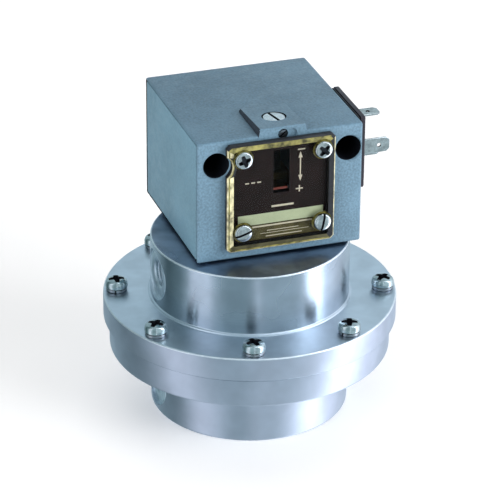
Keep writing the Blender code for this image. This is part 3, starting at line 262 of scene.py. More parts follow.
# each finish: name, colour, roughness, metallic, tint, grain, bump, wear and how strongly it is turned
MATS = {
    "turned": surface("turned_aluminium_look", (0.44, 0.50, 0.56), 0.25, 1.0, 0.07, 90.0, 0.16, 0.05, 0.85),
    "rim": surface("turned_rim_look", (0.56, 0.59, 0.67), 0.43, 1.0, 0.06, 90.0, 0.12, 0.05, 0.4),
    "face": surface("turned_face_look", (0.66, 0.73, 0.80), 0.34, 1.0, 0.07, 90.0, 0.14, 0.05, 0.35),
    # drum_top is painted shade: a darker copy of the turned finish for the drum's top under the housing
    "drum_top": surface("drum_top_painted_shade_look", (0.30, 0.34, 0.42), 0.3, 1.0, 0.25, 90.0, 0.12, 0.06, 0.75),
    "bored": surface("bored_aluminium_look", (0.66, 0.74, 0.79), 0.38, 1.0, 0.1, 400.0, 0.08, 0.06),
    # edge is a painted highlight: pale colour on the rounded top edges of the drum and flange
    "edge": surface("painted_highlight_edge_look", (0.90, 0.94, 0.98), 0.42, 1.0, 0.08, 500.0, 0.1, 0.06),
    "paint": surface("hammered_paint_look", (0.110, 0.192, 0.258), 0.46, 0.0, 0.2, 1000.0, 0.5, 0.08),
    "cover_paint": surface("cover_paint_look", (0.122, 0.225, 0.29), 0.5, 0.0, 0.12, 900.0, 0.2, 0.08),
    # shade is painted shade: near-black colour for the insides of bores, recesses, seams and slots
    "shade": surface(
        "painted_shade_look", (0.006, 0.007, 0.01), 0.7, 0.0, 0.3, 600.0, 0.1, 0.08, Specular_IOR_Level=0.1
    ),
    # wall_shade is painted shade on the left wall of the pad on the housing top
    "wall_shade": surface("pad_wall_painted_shade_look", (0.02, 0.026, 0.036), 0.6, 0.0, 0.4, 900.0, 0.4, 0.08),
    "zinc": surface("zinc_steel_look", (0.56, 0.58, 0.56), 0.22, 1.0, 0.2, 420.0, 0.14, 0.08),
    "bright": surface("bright_steel_look", (0.88, 0.9, 0.9), 0.3, 1.0, 0.12, 500.0, 0.1, 0.08),
    "dull_zinc": surface("dull_zinc_look", (0.5, 0.57, 0.57), 0.17, 1.0, 0.25, 420.0, 0.12, 0.06),
    # dark_steel is steel in painted shade: the spindle's threads inside the housing and the window screws'
    # recesses
    "dark_steel": surface("steel_painted_shade_look", (0.05, 0.05, 0.055), 0.4, 1.0, 0.2, 500.0, 0.1, 0.08),
    "spring": surface("spring_steel_look", (0.34, 0.36, 0.38), 0.3, 1.0, 0.15, 700.0, 0.1, 0.08),
    "brass": surface("brass_look", (0.5, 0.36, 0.15), 0.4, 1.0, 0.15, 500.0, 0.08, 0.08),
    # dark_brass is brass in painted shade: the running nut and pointer inside the housing
    "dark_brass": surface("brass_painted_shade_look", (0.05, 0.035, 0.016), 0.5, 1.0, 0.2, 500.0, 0.08, 0.08),
    "rubber": surface("rubber_look", (0.012, 0.012, 0.014), 0.62, 0.0, 0.3, 900.0, 0.2, 0.1),
    "black": surface("black_plastic_look", (0.022, 0.016, 0.022), 0.42, 0.0, 0.25, 800.0, 0.12, 0.08),
    "white": surface("white_plastic_look", (0.74, 0.73, 0.69), 0.4, 0.0, 0.05, 500.0, 0.05, 0.08),
    # amber is painted light: the gold that the pane's edges and countersinks catch
    "painted_gold_light": surface(
        "gold_edge_painted_light_look", (0.17, 0.155, 0.045), 0.25, 0.0, 0.75, 330.0, 0.3, 0.08, Coat_Weight=0.5
    ),
    # cream is a painted highlight on the pane's bevel
    "painted_cream_highlight": surface("cream_edge_painted_highlight_look", (0.45, 0.42, 0.25), 0.3, 0.0, 0.6, 420.0, 0.2, 0.08, Coat_Weight=0.5),
    "label": surface(
        "label_print_look", (0.0105, 0.0055, 0.007), 0.4, 0.0, 0.25, 300.0, 0.05, 0.06, Specular_IOR_Level=0.2
    ),
    "slot": surface(
        "slot_edge_look", (0.006, 0.004, 0.006), 0.5, 0.0, 0.25, 300.0, 0.05, 0.06, Specular_IOR_Level=0.2
    ),
    "olive": surface(
        "olive_print_look", (0.062, 0.058, 0.03), 0.36, 0.0, 0.4, 260.0, 0.05, 0.06, Specular_IOR_Level=0.2
    ),
    "pale": surface("pale_print_look", (0.37, 0.45, 0.345), 0.4, 0.0, 0.06, 300.0, 0.04, 0.06),
    "mark": surface("white_print_look", (0.5, 0.49, 0.45), 0.4, 0.0, 0.08, 900.0, 0.05, 0.06),
    "red": surface("red_paint_look", (0.12, 0.022, 0.018), 0.5, 0.0, 0.15, 600.0, 0.08, 0.08),
    "clear": see_through("clear_pane_look", (0.95, 0.94, 0.9)),
}


# ---------------------------------------------------------------- shapes


def lathe(profile, segments=128, turn=None):
    """A solid turned about Z from a closed outline of (radius, z) points."""
    bm = bmesh.new()
    rings = []
    for radius, z in profile:
        if radius <= 0:
            rings.append([bm.verts.new((0, 0, z))] * segments)
            continue
        angles = [2 * math.pi * i / segments for i in range(segments)]
        rings.append([bm.verts.new((radius * math.cos(a), radius * math.sin(a), z)) for a in angles])
    for lower, upper in zip(rings, rings[1:] + rings[:1]):
        for i in range(segments):
            j = (i + 1) % segments
            corners = []
            for vert in (lower[i], lower[j], upper[j], upper[i]):
                if vert not in corners:
                    corners.append(vert)
            if len(corners) > 2:
                bm.faces.new(corners)
    if turn:
        bm.transform(turn)
    return bm


def eased(points, steps=4):
    """An outline whose corners are rounded. Each point is (a, b, radius)."""
    out = []
    count = len(points)
    for i, (a, b, radius) in enumerate(points):
        corner = Vector((a, b))
        if radius <= 0:
            out.append((a, b))
            continue
        before = Vector(points[i - 1][:2]) - corner
        after = Vector(points[(i + 1) % count][:2]) - corner
        reach = min(radius, before.length * 0.45, after.length * 0.45)
        start = corner + before.normalized() * reach
        end = corner + after.normalized() * reach
        for k in range(steps + 1):
            t = k / steps
            point = start * (1 - t) ** 2 + corner * 2 * t * (1 - t) + end * t**2
            out.append((point.x, point.y))
    return out


def box(low, high, bevel=0.0, segments=2):
    bm = bmesh.new()
    bmesh.ops.create_cube(bm, size=1.0)
    size = Vector(high) - Vector(low)
    bmesh.ops.scale(bm, vec=size, verts=bm.verts)
    bmesh.ops.translate(bm, vec=(Vector(high) + Vector(low)) / 2, verts=bm.verts)
    if bevel:
        bmesh.ops.bevel(bm, geom=bm.edges[:], offset=bevel, segments=segments, profile=0.5, affect="EDGES")
    return bm


def loft(rings, material_of=None):
    """Skin closed rings of equal count, and cap both ends. material_of gives a slot for each band."""
    bm = bmesh.new()
    loops = [[bm.verts.new(p) for p in ring] for ring in rings]
    count = len(loops[0])
    for band, (first, second) in enumerate(zip(loops, loops[1:])):
        for i in range(count):
            j = (i + 1) % count
            face = bm.faces.new((first[i], first[j], second[j], second[i]))
            face.material_index = material_of[band] if material_of else 0
    bm.faces.new(loops[0])
    bm.faces.new(loops[-1])
    return bm


def plate(outline, axis, low, high, bevel=0.0):
    """An outline in the other two axes, extruded along one axis. The high end may be bevelled."""

    def ring(level, shrink):
        centre = [sum(p[k] for p in outline) / len(outline) for k in (0, 1)]
        points = []
        for p in outline:
            pair = []
            for k in (0, 1):
                reach = p[k] - centre[k]
                pair.append(p[k] - math.copysign(min(shrink, abs(reach)), reach))
            pair.insert(axis, level)
            points.append(tuple(pair))
        return points

    rings = [ring(low, 0), ring(high, 0)]
    if bevel:
        side = math.copysign(bevel, high - low)
        rings = [ring(low, 0), ring(high - side, 0), ring(high, bevel)]
    return loft(rings)


def add(name, bm, look, angle=35):
    """An object from a bmesh. look is one finish or a list. Edges sharper than angle stay sharp."""
    bmesh.ops.recalc_face_normals(bm, faces=bm.faces)
    mesh = bpy.data.meshes.new(name)
    bm.to_mesh(mesh)
    bm.free()
    obj = bpy.data.objects.new(name, mesh)
    bpy.context.scene.collection.objects.link(obj)
    for key in [look] if isinstance(look, str) else look:
        mesh.materials.append(MATS[key])
    shade(mesh, angle)
    return obj


def shade(mesh, angle=35):
    mesh.shade_smooth()
    mesh.set_sharp_from_angle(angle=math.radians(angle))


def carve(obj, joins=(), cuts=(), looks=()):
    """Join shapes to an object and cut others from it. looks are the finishes of the joined or cut faces."""
    helpers = []
    for operation, shapes in (("UNION", joins), ("DIFFERENCE", cuts)):
        for bm in shapes:
            bmesh.ops.recalc_face_normals(bm, faces=bm.faces)
            mesh = bpy.data.meshes.new("helper")
            bm.to_mesh(mesh)
            bm.free()
            for look in looks:
                mesh.materials.append(MATS[look])
            if not looks:
                mesh.materials.append(obj.data.materials[0])
            helper = bpy.data.objects.new("helper", mesh)
            bpy.context.scene.collection.objects.link(helper)
            helpers.append(helper)
            modifier = obj.modifiers.new(operation, "BOOLEAN")
            modifier.operation = operation
            modifier.object = helper
            modifier.solver = "EXACT"
            modifier.material_mode = "TRANSFER"
    bpy.context.view_layer.update()
    evaluated = obj.evaluated_get(bpy.context.evaluated_depsgraph_get())
    made = bpy.data.meshes.new_from_object(evaluated)
    obj.modifiers.clear()
    obj.data = made
    for helper in helpers:
        bpy.data.objects.remove(helper)
    shade(made)
    return obj


def even_turned_normals(mesh):
    """Shade a body turned about Z by its true outline, so that long thin faces beside a cut don't show."""
    cut_slots = {i for i, material in enumerate(mesh.materials) if material == MATS["bored"]}
    slopes = {}
    at_vertex = {}
    for face in mesh.polygons:
        if face.material_index in cut_slots:
            continue
        outward = Vector((face.center.x, face.center.y, 0)).normalized()
        slope = math.atan2(face.normal.z, face.normal.dot(outward))
        slopes[face.index] = slope
        for vertex in face.vertices:
            at_vertex.setdefault(vertex, []).append(slope)
    normals = [Vector(corner.vector) for corner in mesh.corner_normals]
    for face in mesh.polygons:
        slope = slopes.get(face.index)
        if slope is None:
            continue
        for corner in face.loop_indices:
            vertex = mesh.loops[corner].vertex_index
            near = {round(other, 3) for other in at_vertex[vertex] if abs(other - slope) < SOFT_EDGE}
            mean = sum(near) / len(near) if near else slope
            place = mesh.vertices[vertex].co
            outward = Vector((place.x, place.y, 0)).normalized()
            normals[corner] = outward * math.cos(mean) + Vector((0, 0, math.sin(mean)))
    mesh.normals_split_custom_set(normals)


def tag_faces(mesh, slot, chosen):
    """Give the faces that the test chooses another of the mesh's material slots."""
    for face in mesh.polygons:
        if chosen(face):
            face.material_index = slot


def moved(bm, x=0.0, y=0.0, z=0.0):
    bmesh.ops.translate(bm, vec=(x, y, z), verts=bm.verts)
    return bm


def rod(radius, low, high, segments=48, turn=None):
    return lathe([(0, low), (radius, low), (radius, high), (0, high)], segments, turn)


def middle_of(node):
    return [(low + high) / 2 for low, high in zip(*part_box(node))]


def stand_for(obj, body, look_slot, *nodes):
    """The piece moves with a body and is shown in place of CAD nodes. look_slot is not used."""
    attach(obj, body)
    if nodes:
        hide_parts(*nodes)
    return obj


# ---------------------------------------------------------------- chambers


def screw_angles():
    return [math.radians(FIRST_SCREW_DEGREES + 45 * i) for i in range(8)]


def port_cuts(height, cavity_z):
    """A spot face with a ring groove, a threaded bore with a countersunk mouth, and the channel behind it."""
    face = PORT_FACE_X
    outside = -DRUM - 6 * MM
    spot = lathe(
        eased(
            [
                (0, outside, 0),
                (SPOT_RADIUS + 0.3 * MM, outside, 0),
                (SPOT_RADIUS, face, 0.3 * MM),
                (SPOT_RADIUS - 1.1 * MM, face, 0),
                (SPOT_RADIUS - 1.3 * MM, face + 0.25 * MM, 0),
                (SPOT_RADIUS - 1.5 * MM, face, 0),
                (THREAD_ROOT + 0.5 * MM, face, 0),
                (0, face + 4 * MM, 0),
            ]
        ),
        96,
        ALONG_X,
    )
    profile = [(0, outside), (THREAD_ROOT + 0.2 * MM, outside), (THREAD_ROOT + 0.2 * MM, face + 0.3 * MM)]
    z = face + 0.9 * MM
    while z < PORT_END_X - 2 * MM:
        profile += [(THREAD_CREST, z), (THREAD_ROOT, z + THREAD_PITCH / 2)]
        z += THREAD_PITCH
    profile += [(THREAD_CREST, z), (THREAD_CREST, PORT_END_X), (0, PORT_END_X + 3 * MM)]
    bore = lathe(profile, 64, ALONG_X)
    low, high = sorted((height, cavity_z))
    return [
        moved(spot, z=height),
        moved(bore, z=height),
        moved(rod(CHANNEL_RADIUS, low, high, 24), x=CHANNEL_X),
    ]


def flange_holes(low, high, mouth):
    """Clearance holes for the flange screws, countersunk a little at the level mouth."""
    shapes = []
    flare = 0.4 * MM
    side = math.copysign(1.0, high - low) if mouth == high else -1.0
    for a in screw_angles():
        profile = [(0, low), (SCREW_HOLE, low), (SCREW_HOLE, high), (0, high)]
        hole = lathe(profile, 24)
        shapes.append(moved(hole, SCREW_CIRCLE * math.cos(a), SCREW_CIRCLE * math.sin(a)))
        cone = lathe(
            [
                (0, mouth - side * flare),
                (SCREW_HOLE, mouth - side * flare),
                (SCREW_HOLE + 2 * flare, mouth + side * flare),
                (0, mouth + side * flare),
            ],
            24,
        )
        shapes.append(moved(cone, SCREW_CIRCLE * math.cos(a), SCREW_CIRCLE * math.sin(a)))
    return shapes


def is_flange_rim(face):
    return abs(face.normal.z) < 0.3 and math.hypot(face.center.x, face.center.y) > DRUM + 10 * MM


def is_drum_top(face):
    return face.normal.z > 0.9 and abs(face.center.z - DRUM_TOP) < 0.1 * MM


def is_flange_top(face):
    return face.normal.z > 0.5 and face.center.z < FLANGE_TOP + MM


def is_painted_highlight_edge(face):
    """The rounded top edges of the drum and of the flange, coloured pale as a painted highlight."""
    near = 1.2 * MM
    radius = math.hypot(face.center.x, face.center.y)
    sloped = 0.15 < face.normal.z < 0.97
    on_drum = radius > DRUM - near and face.center.z > DRUM_TOP - near
    return sloped and (radius > UPPER_FLANGE - near or on_drum)


def build_lower_chamber():
    profile = eased(
        [
            (0, 0.6 * MM, 0),
            (4 * MM, 0, 0),
            (DRUM - 5 * MM, 0, 0),
            (DRUM, 0, 1.2 * MM),
            (DRUM, DRUM_HEIGHT, 1.6 * MM),
            (LOWER_FLANGE, DRUM_HEIGHT, 1.0 * MM),
            (LOWER_FLANGE, PARTING, 0.25 * MM),
            (CAVITY, PARTING, 0.4 * MM),
            (CAVITY, PARTING - CAVITY_DEPTH, 1.5 * MM),
            (0, PARTING - CAVITY_DEPTH, 0),
        ]
    )
    chamber = add("v_lower_chamber", lathe(profile, TURNED_SEGMENTS), ["rim"])
    cuts = port_cuts(PORT_HEIGHTS[0], PARTING - CAVITY_DEPTH + MM)
    cuts += flange_holes(DRUM_HEIGHT - 2 * MM, PARTING + MM, DRUM_HEIGHT)
    carve(chamber, cuts=cuts, looks=["bored"])
    even_turned_normals(chamber.data)
    stand_for(chamber, "switch_body", "turned_aluminium", "lower_chamber")


def build_upper_chamber():
    roof = UPPER_LOW + CAVITY_DEPTH
    ledge = roof + 4 * MM
    profile = eased(
        [
            (CAVITY, UPPER_LOW, 0.4 * MM),
            (UPPER_FLANGE, UPPER_LOW, 0.4 * MM),
            (UPPER_FLANGE, FLANGE_TOP, 1.1 * MM),
            (DRUM + 1.1 * MM, FLANGE_TOP, 0.5 * MM),
            (DRUM + 0.8 * MM, FLANGE_TOP + 0.5 * MM, 0.3 * MM),
            (DRUM, FLANGE_TOP + 0.9 * MM, 0.5 * MM),
            (DRUM, DRUM_TOP, 1.1 * MM),
            (STEM_RADIUS + 0.4 * MM, DRUM_TOP, 0.4 * MM),
            (STEM_RADIUS, DRUM_TOP + 0.4 * MM, 0),
            (STEM_RADIUS, STEM_TOP, 0.5 * MM),
            (BUSH_HOLE, STEM_TOP, 0.3 * MM),
            (BUSH_HOLE, ledge, 0),
            (PIN_HOLE, ledge, 0),
            (PIN_HOLE, roof, 0),
            (CAVITY, roof, 1.5 * MM),
        ]
    )
    looks = ["turned", "rim", "drum_top", "face", "edge"]
    chamber = add("v_upper_chamber", lathe(profile, TURNED_SEGMENTS), looks)
    tag_faces(chamber.data, looks.index("rim"), is_flange_rim)
    # The drum's top under the housing is coloured darker as painted shade
    tag_faces(chamber.data, looks.index("drum_top"), is_drum_top)
    tag_faces(chamber.data, looks.index("face"), is_flange_top)
    # The rounded top edges get a pale painted highlight
    tag_faces(chamber.data, looks.index("edge"), is_painted_highlight_edge)
    cuts = port_cuts(PORT_HEIGHTS[1], roof - MM)
    cuts += flange_holes(UPPER_LOW - MM, FLANGE_TOP + MM, FLANGE_TOP)
    carve(chamber, cuts=cuts, looks=["bored"])
    even_turned_normals(chamber.data)
    stand_for(chamber, "switch_body", "turned_aluminium", "upper_chamber")


# ---------------------------------------------------------------- screws


def cross_cutter(radius, top, depth):
    """A tapered cross that leaves a driver recess in a head."""
    rings = []
    for level, share in ((top - depth, 0.5), (top - depth * 0.35, 0.9), (top + depth * 0.3, 1.12)):
        reach = radius * 0.72 * share
        half = radius * 0.17 * (0.6 + 0.4 * share)
        ring = []
        for turn in range(4):
            cosine, sine = round(math.cos(turn * math.pi / 2)), round(math.sin(turn * math.pi / 2))
            for x, y in ((reach, -half), (reach, half), (half * 1.5, half * 1.5)):
                ring.append((x * cosine - y * sine, x * sine + y * cosine, level))
        rings.append(ring)
    return loft(rings)


def slot_cutter(radius, top, depth):
    half = radius * 0.13
    return box((-radius * 1.3, -half, top - depth), (radius * 1.3, half, top + depth))


def pan_screw_mesh(head, head_height, shank, length, cutter, depth, look, recess_look="shade"):
    """A pan-head screw along Z, seated at 0: a domed head, a short plain neck and a threaded shank."""
    profile = eased(
        [
            (0, head_height, 0),
            (head * 0.55, head_height * 0.985, head * 0.1),
            (head * 0.9, head_height * 0.8, head * 0.2),
            (head, head_height * 0.42, head * 0.12),
            (head, 0, head * 0.05),
        ],
        5,
    )
    profile += [(shank, 0)]
    pitch = shank * 0.32
    z = -pitch
    while z > -length + pitch:
        profile += [(shank, z), (shank * 0.86, z - pitch / 2)]
        z -= pitch
    profile += [(shank * 0.8, -length), (0, -length)]
    obj = add("screw_pattern", lathe(profile, 40), look)
    # The driver recess is cut in recess_look, painted shade unless another finish is given
    carve(obj, cuts=[cutter(head, head_height, head_height * depth)], looks=[recess_look])
    mesh = obj.data
    bpy.data.objects.remove(obj)
    return mesh


def place_screw(node, mesh, turn, spin):
    """Stand a screw mesh where its CAD node is. turn points it, and spin turns its recess."""
    low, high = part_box(node)
    axis = turn @ Vector((0, 0, 1))
    centre = (low + high) / 2
    half = abs((high - low).dot(axis)) / 2
    top = centre + axis * half
    obj = bpy.data.objects.new("v_" + node, mesh)
    bpy.context.scene.collection.objects.link(obj)
    highest = max(v.co.z for v in mesh.vertices)
    obj.matrix_world = Matrix.Translation(top - axis * highest) @ turn @ Matrix.Rotation(spin, 4, "Z")
    stand_for(obj, "switch_body", "steel", node)
    return obj


def spring_washer_mesh(inner, outer, height):
    """A split washer: a square wire bent into a ring, its ends a little apart and out of line."""
    rings = []
    steps = 40
    split = math.radians(9)
    lift = 0.3 * MM
    for i in range(steps + 1):
        t = i / steps
        a = split / 2 + (2 * math.pi - split) * t
        z = lift * (t - 0.5)
        soft = outer - 0.15 * MM
        section = ((inner, 0.1), (soft, 0), (outer, 0.15), (outer, 0.85), (soft, 1), (inner, 0.9))
        low = max(0.0, z)
        tall = height - lift * 0.5
        rings.append([(r * math.cos(a), r * math.sin(a), low + tall * share) for r, share in section])
    obj = add("washer_pattern", loft(rings), "spring")
    mesh = obj.data
    bpy.data.objects.remove(obj)
    return mesh


def build_flange_fasteners():
    screw = pan_screw_mesh(*M5_SCREW, cross_cutter, 0.62, "dull_zinc")
    washer = spring_washer_mesh(2.8 * MM, 4.75 * MM, 1.4 * MM)
    spins = (12, 71, 38, 25, 5, 58, 83, 47)
    for number, (angle, spin) in enumerate(zip(screw_angles(), spins), start=1):
        place_screw(f"flange_screw_{number}", screw, Matrix(), math.radians(spin))
        ring = bpy.data.objects.new(f"v_flange_washer_{number}", washer)
        bpy.context.scene.collection.objects.link(ring)
        x, y = SCREW_CIRCLE * math.cos(angle), SCREW_CIRCLE * math.sin(angle)
        place = Vector((x, y, FLANGE_TOP + 0.1 * MM))
        ring.matrix_world = Matrix.Translation(place) @ Matrix.Rotation(math.radians(spin * 3), 4, "Z")
        stand_for(ring, "switch_body", "spring_steel", f"flange_washer_{number}")


# ---------------------------------------------------------------- housing


def build_housing():
    body = add("v_switch_housing", box((LEFT, FRONT, FLOOR), (RIGHT, BACK, TOP), 1.0 * MM, 3), "paint")
    pad = housing_pad()
    hollow = box((LEFT - MM, FRONT + FRONT_WALL, FLOOR + WALL), (RIGHT - WALL, BACK - WALL, TOP - WALL))
    carve(body, joins=[pad], looks=["paint", "wall_shade"])
    carve(body, cuts=[hollow], looks=["cover_paint"])
    tubes = []
    reach = BORE_RADIUS + BORE_WALL
    for x in BORES:
        high = min(x + reach, RIGHT - MM)
        tubes.append(box((x - reach, FRONT + MM, BORE_Z - reach), (high, BACK - MM, TOP - MM)))
    inner = COVER_BACK + GAP
    rebate = box((LEFT - MM, FRONT + LIP, FLOOR + LIP), (inner, BACK - LIP, TOP - LIP))
    carve(body, joins=tubes)
    # The seam round the side cover is cut in painted shade
    carve(body, cuts=[rebate], looks=["shade"])
    carve(body, cuts=wall_bores(), looks=["shade", "paint"])
    carve(body, cuts=[lock_recess()], looks=["paint"])
    # The spindle recess, pointer slot, holes and openings are cut in painted shade
    carve(body, cuts=housing_cuts(), looks=["shade"])
    stand_for(body, "switch_body", "hammered_paint", "switch_housing")


def housing_pad():
    """The raised pad round the spindle. It gets lower towards the back, and its left wall is coloured dark as
    painted shade.
    """
    soft = 0.45 * MM
    foot = TOP - 1.5 * MM
    rings = []
    for y, rise, shrink in (
        (FRONT + 0.05 * MM, PAD_RISE - 0.35 * MM, 0.3 * MM),
        (FRONT + 0.4 * MM, PAD_RISE, 0),
        (PAD_BACK, PAD_BACK_RISE, 0),
    ):
        half = PAD_HALF - shrink
        rings.append(
            [
                (PAD_X - half - PAD_LEAN, y, foot),
                (PAD_X + half + PAD_LEAN, y, foot),
                (PAD_X + half, y, TOP + rise - soft),
                (PAD_X + half - soft, y, TOP + rise),
                (PAD_X - half + soft, y, TOP + rise),
                (PAD_X - half, y, TOP + rise - soft),
            ]
        )
    pad = loft(rings)
    pad.normal_update()
    bmesh.ops.recalc_face_normals(pad, faces=pad.faces)
    for face in pad.faces:
        face.material_index = int(face.normal.x < -0.5)
    return pad


def wall_bores():
    """The two wall-screw bores: near-black inside as painted shade, with a chamfer at the mouth in the
    housing paint.
    """
    cuts = []
    mouth = 0.5 * MM
    for x in BORES:
        profile = [
            (0, FRONT - MM),
            (BORE_RADIUS + MM + mouth, FRONT - MM),
            (BORE_RADIUS, FRONT + mouth),
            (BORE_RADIUS, BACK - WALL),
            (WALL_SCREW_HOLE, BACK - WALL),
            (WALL_SCREW_HOLE, BACK - mouth),
            (WALL_SCREW_HOLE + mouth + MM, BACK + MM),
            (0, BACK + MM),
        ]
        bore = lathe(profile, 64, ALONG_Y)
        for face in bore.faces:
            middle = face.calc_center_median()
            face.material_index = int(FRONT - mouth < middle.y < FRONT + mouth)
        cuts.append(moved(bore, x=x, z=BORE_Z))
    return cuts


def lock_recess():
    """The shallow painted recess that the locking screw stands in, a slot with round ends."""
    outline = []
    steps = 16
    for centre, first in ((RECESS_RUN, -90), (0, 90)):
        for i in range(steps + 1):
            angle = math.radians(first + 180 * i / steps)
            across = RECESS_RADIUS * math.cos(angle)
            outline.append((LOCK_X + centre + across, LOCK_Z + RECESS_RADIUS * math.sin(angle)))
    return plate(outline, 1, FRONT - MM, FRONT + MM)


def housing_cuts():
    cuts = []
    under_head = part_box("setting_spindle")[1].z - 3.6 * MM
    profile = [
        (0, TOP + 5 * MM),
        (SPINDLE_HEAD + 0.55 * MM, TOP + 5 * MM),
        (SPINDLE_HEAD + 0.55 * MM, under_head),
        (3.3 * MM, under_head),
        (3.3 * MM, TOP - WALL - MM),
        (0, TOP - WALL - MM),
    ]
    cuts.append(moved(lathe(profile, 56), x=SPINDLE.x, y=SPINDLE.y))
    lock = rod(2.2 * MM, FRONT - MM, SPINDLE.y - 4 * MM, 32, ALONG_Y)
    cuts.append(moved(lock, x=LOCK_X, z=LOCK_Z))
    x0, x1, z0, z1 = SLOT
    side = 3.4 * MM
    cuts.append(box((x0 - side, FRONT - MM, z0 - MM), (x1 + side, FRONT + FRONT_WALL + MM, z1 + MM)))
    cuts.append(rod(9.5 * MM, FLOOR - MM, FLOOR + WALL + MM, 64))
    for node in window_screws():
        x, z = screw_centre(node)
        cuts.append(moved(rod(2.2 * MM, FRONT - MM, FRONT + FRONT_WALL - MM, 24, ALONG_Y), x=x, z=z))
    y, z = PLUG_MIDDLE.y, PLUG_MIDDLE.z
    cuts.append(box((RIGHT - WALL - MM, y - 6 * MM, z - 11 * MM), (RIGHT + MM, y + 6 * MM, z - 4 * MM)))
    for node in ("plug_screw_1", "plug_screw_2"):
        _, y, z = middle_of(node)
        cuts.append(moved(rod(M3_HOLE, RIGHT - 3 * MM, RIGHT + MM, 20, ALONG_X), y=y, z=z))
    for node in ("bracket_screw_1", "bracket_screw_2"):
        x, y, _ = middle_of(node)
        cuts.append(moved(rod(M3_HOLE, FLOOR + 0.9 * MM, FLOOR + WALL + MM, 20), x=x, y=y))
    nick = box((12.6 * MM, 3.6 * MM, TOP - 0.5 * MM), (16.6 * MM, 4.6 * MM, TOP + MM))
    pit = moved(rod(0.45 * MM, TOP - 0.4 * MM, TOP + MM, 16), x=6.7 * MM, y=3.6 * MM)
    return cuts + [nick, pit]


def build_side_cover():
    low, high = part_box("side_cover")
    seam = Vector((0, 0.8 * MM, 0.1 * MM))
    cover = add("v_side_cover", box(low + seam, high - seam, 0.5 * MM, 2), "cover_paint")
    stand_for(cover, "switch_body", "hammered_paint", "side_cover")


# ---------------------------------------------------------------- window


def window_screws():
    return [f"window_screw_{n}" for n in range(1, 5)]


def screw_centre(node):
    x, _, z = middle_of(node)
    return x, z


def window_ring(inset, y):
    """The window's outline at an inset: a rectangle with cut corners and an arc round the left bore."""
    cut = WINDOW_CORNER - inset * 0.3
    left, right = WINDOW_LOW.x + inset, WINDOW_HIGH.x - inset
    foot, head = WINDOW_LOW.z + inset, WINDOW_HIGH.z - inset
    radius = NOTCH + inset * 0.6
    reach = math.acos(min(1.0, (left - BORES[0]) / radius))
    points = [(right, foot + cut), (right, head - cut), (right - cut, head)]
    points += [(left + cut, head), (left, head - cut)]
    steps = 14
    for i in range(steps + 1):
        angle = reach * (1 - 2 * i / steps)
        points.append((BORES[0] + radius * math.cos(angle), BORE_Z + radius * math.sin(angle)))
    points += [(left, foot + cut), (left + cut, foot), (right - cut, foot)]
    return [(x, y, z) for x, z in points]


def window_holes(radius):
    holes = []
    for node in window_screws():
        x, z = screw_centre(node)
        holes.append(moved(rod(radius, COVER_FRONT_Y - MM, FRONT + MM, 32, ALONG_Y), x=x, z=z))
    return holes


def build_pane():
    """The clear cover: a see-through middle in a frame coloured with painted light: painted gold above and at
    the left, and a cream painted highlight on the bevel and at the left.
    """
    bevel = 0.6 * MM
    line = 1.2 * MM
    rings = [
        window_ring(LABEL_INSET, COVER_BACK_Y),
        window_ring(0.1 * MM, COVER_BACK_Y),
        window_ring(0, COVER_BACK_Y - 0.1 * MM),
        window_ring(0, COVER_FRONT_Y + bevel),
        window_ring(bevel, COVER_FRONT_Y),
        window_ring(line, COVER_FRONT_Y),
        window_ring(LABEL_INSET - 0.2 * MM, COVER_FRONT_Y),
    ]
    looks = ["clear", "painted_gold_light", "painted_cream_highlight", "olive", "rubber"]
    bm = loft(rings, [0, 4, 4, 2, 1, 3])
    depth = LABEL_INSET
    for face in bm.faces:
        look = looks[face.material_index]
        middle = face.calc_center_median()
        at_top = middle.z > WINDOW_HIGH.z - depth
        at_right = middle.x > WINDOW_HIGH.x - depth
        if look == "olive" and at_top:
            face.material_index = looks.index("painted_gold_light")
        elif look == "painted_cream_highlight" and at_top:
            face.material_index = looks.index("rubber")
        elif look in ("olive", "painted_gold_light") and at_right:
            face.material_index = looks.index("rubber")
        elif look == "olive" and middle.z > WINDOW_LOW.z + depth:
            face.material_index = looks.index("rubber" if middle.x > WINDOW_LOW.x + 2.2 * MM else "painted_cream_highlight")
    pane = add("v_window_cover", bm, looks)
    sinks = []
    for node in window_screws():
        x, z = screw_centre(node)
        near = COVER_FRONT_Y
        outline = [(0, near - MM), (5.6 * MM, near - MM), (4.6 * MM, near), (4.0 * MM, near + 0.6 * MM)]
        sink = lathe(outline + [(0, near + 0.6 * MM)], 40, ALONG_Y)
        sinks.append(moved(sink, x=x, z=z))
    # The countersinks and screw holes are cut in painted gold light
    carve(pane, cuts=sinks, looks=["painted_gold_light"])
    carve(pane, cuts=window_holes(SCREW_THROUGH), looks=["painted_gold_light"])
    stand_for(pane, "switch_body", "clear_plastic", "window_cover")


def build_window():
    build_pane()
    gasket = add(
        "v_window_gasket",
        loft([window_ring(0.25 * MM, GASKET_FRONT_Y), window_ring(0.25 * MM, GASKET_BACK_Y)]),
        "rubber",
    )
    opening = [window_ring(GASKET_WIDTH, y) for y in (GASKET_FRONT_Y - MM, GASKET_BACK_Y + MM)]
    carve(gasket, cuts=[loft(opening)] + window_holes(SCREW_THROUGH))
    stand_for(gasket, "switch_body", "rubber", "window_gasket")
    x0, x1, z0, z1 = SLOT
    scale = add(
        "v_scale_plate",
        loft([window_ring(LABEL_INSET, SCALE_FRONT_Y), window_ring(LABEL_INSET, GASKET_BACK_Y)]),
        "label",
    )
    slot = box((x0, SCALE_FRONT_Y - MM, z0), (x1, GASKET_BACK_Y + MM, z1))
    carve(scale, cuts=[slot] + window_holes(SCREW_THROUGH), looks=["slot"])
    stand_for(scale, "switch_body", "scale_print", "scale_plate")
    build_scale_marks()
    build_window_screws()


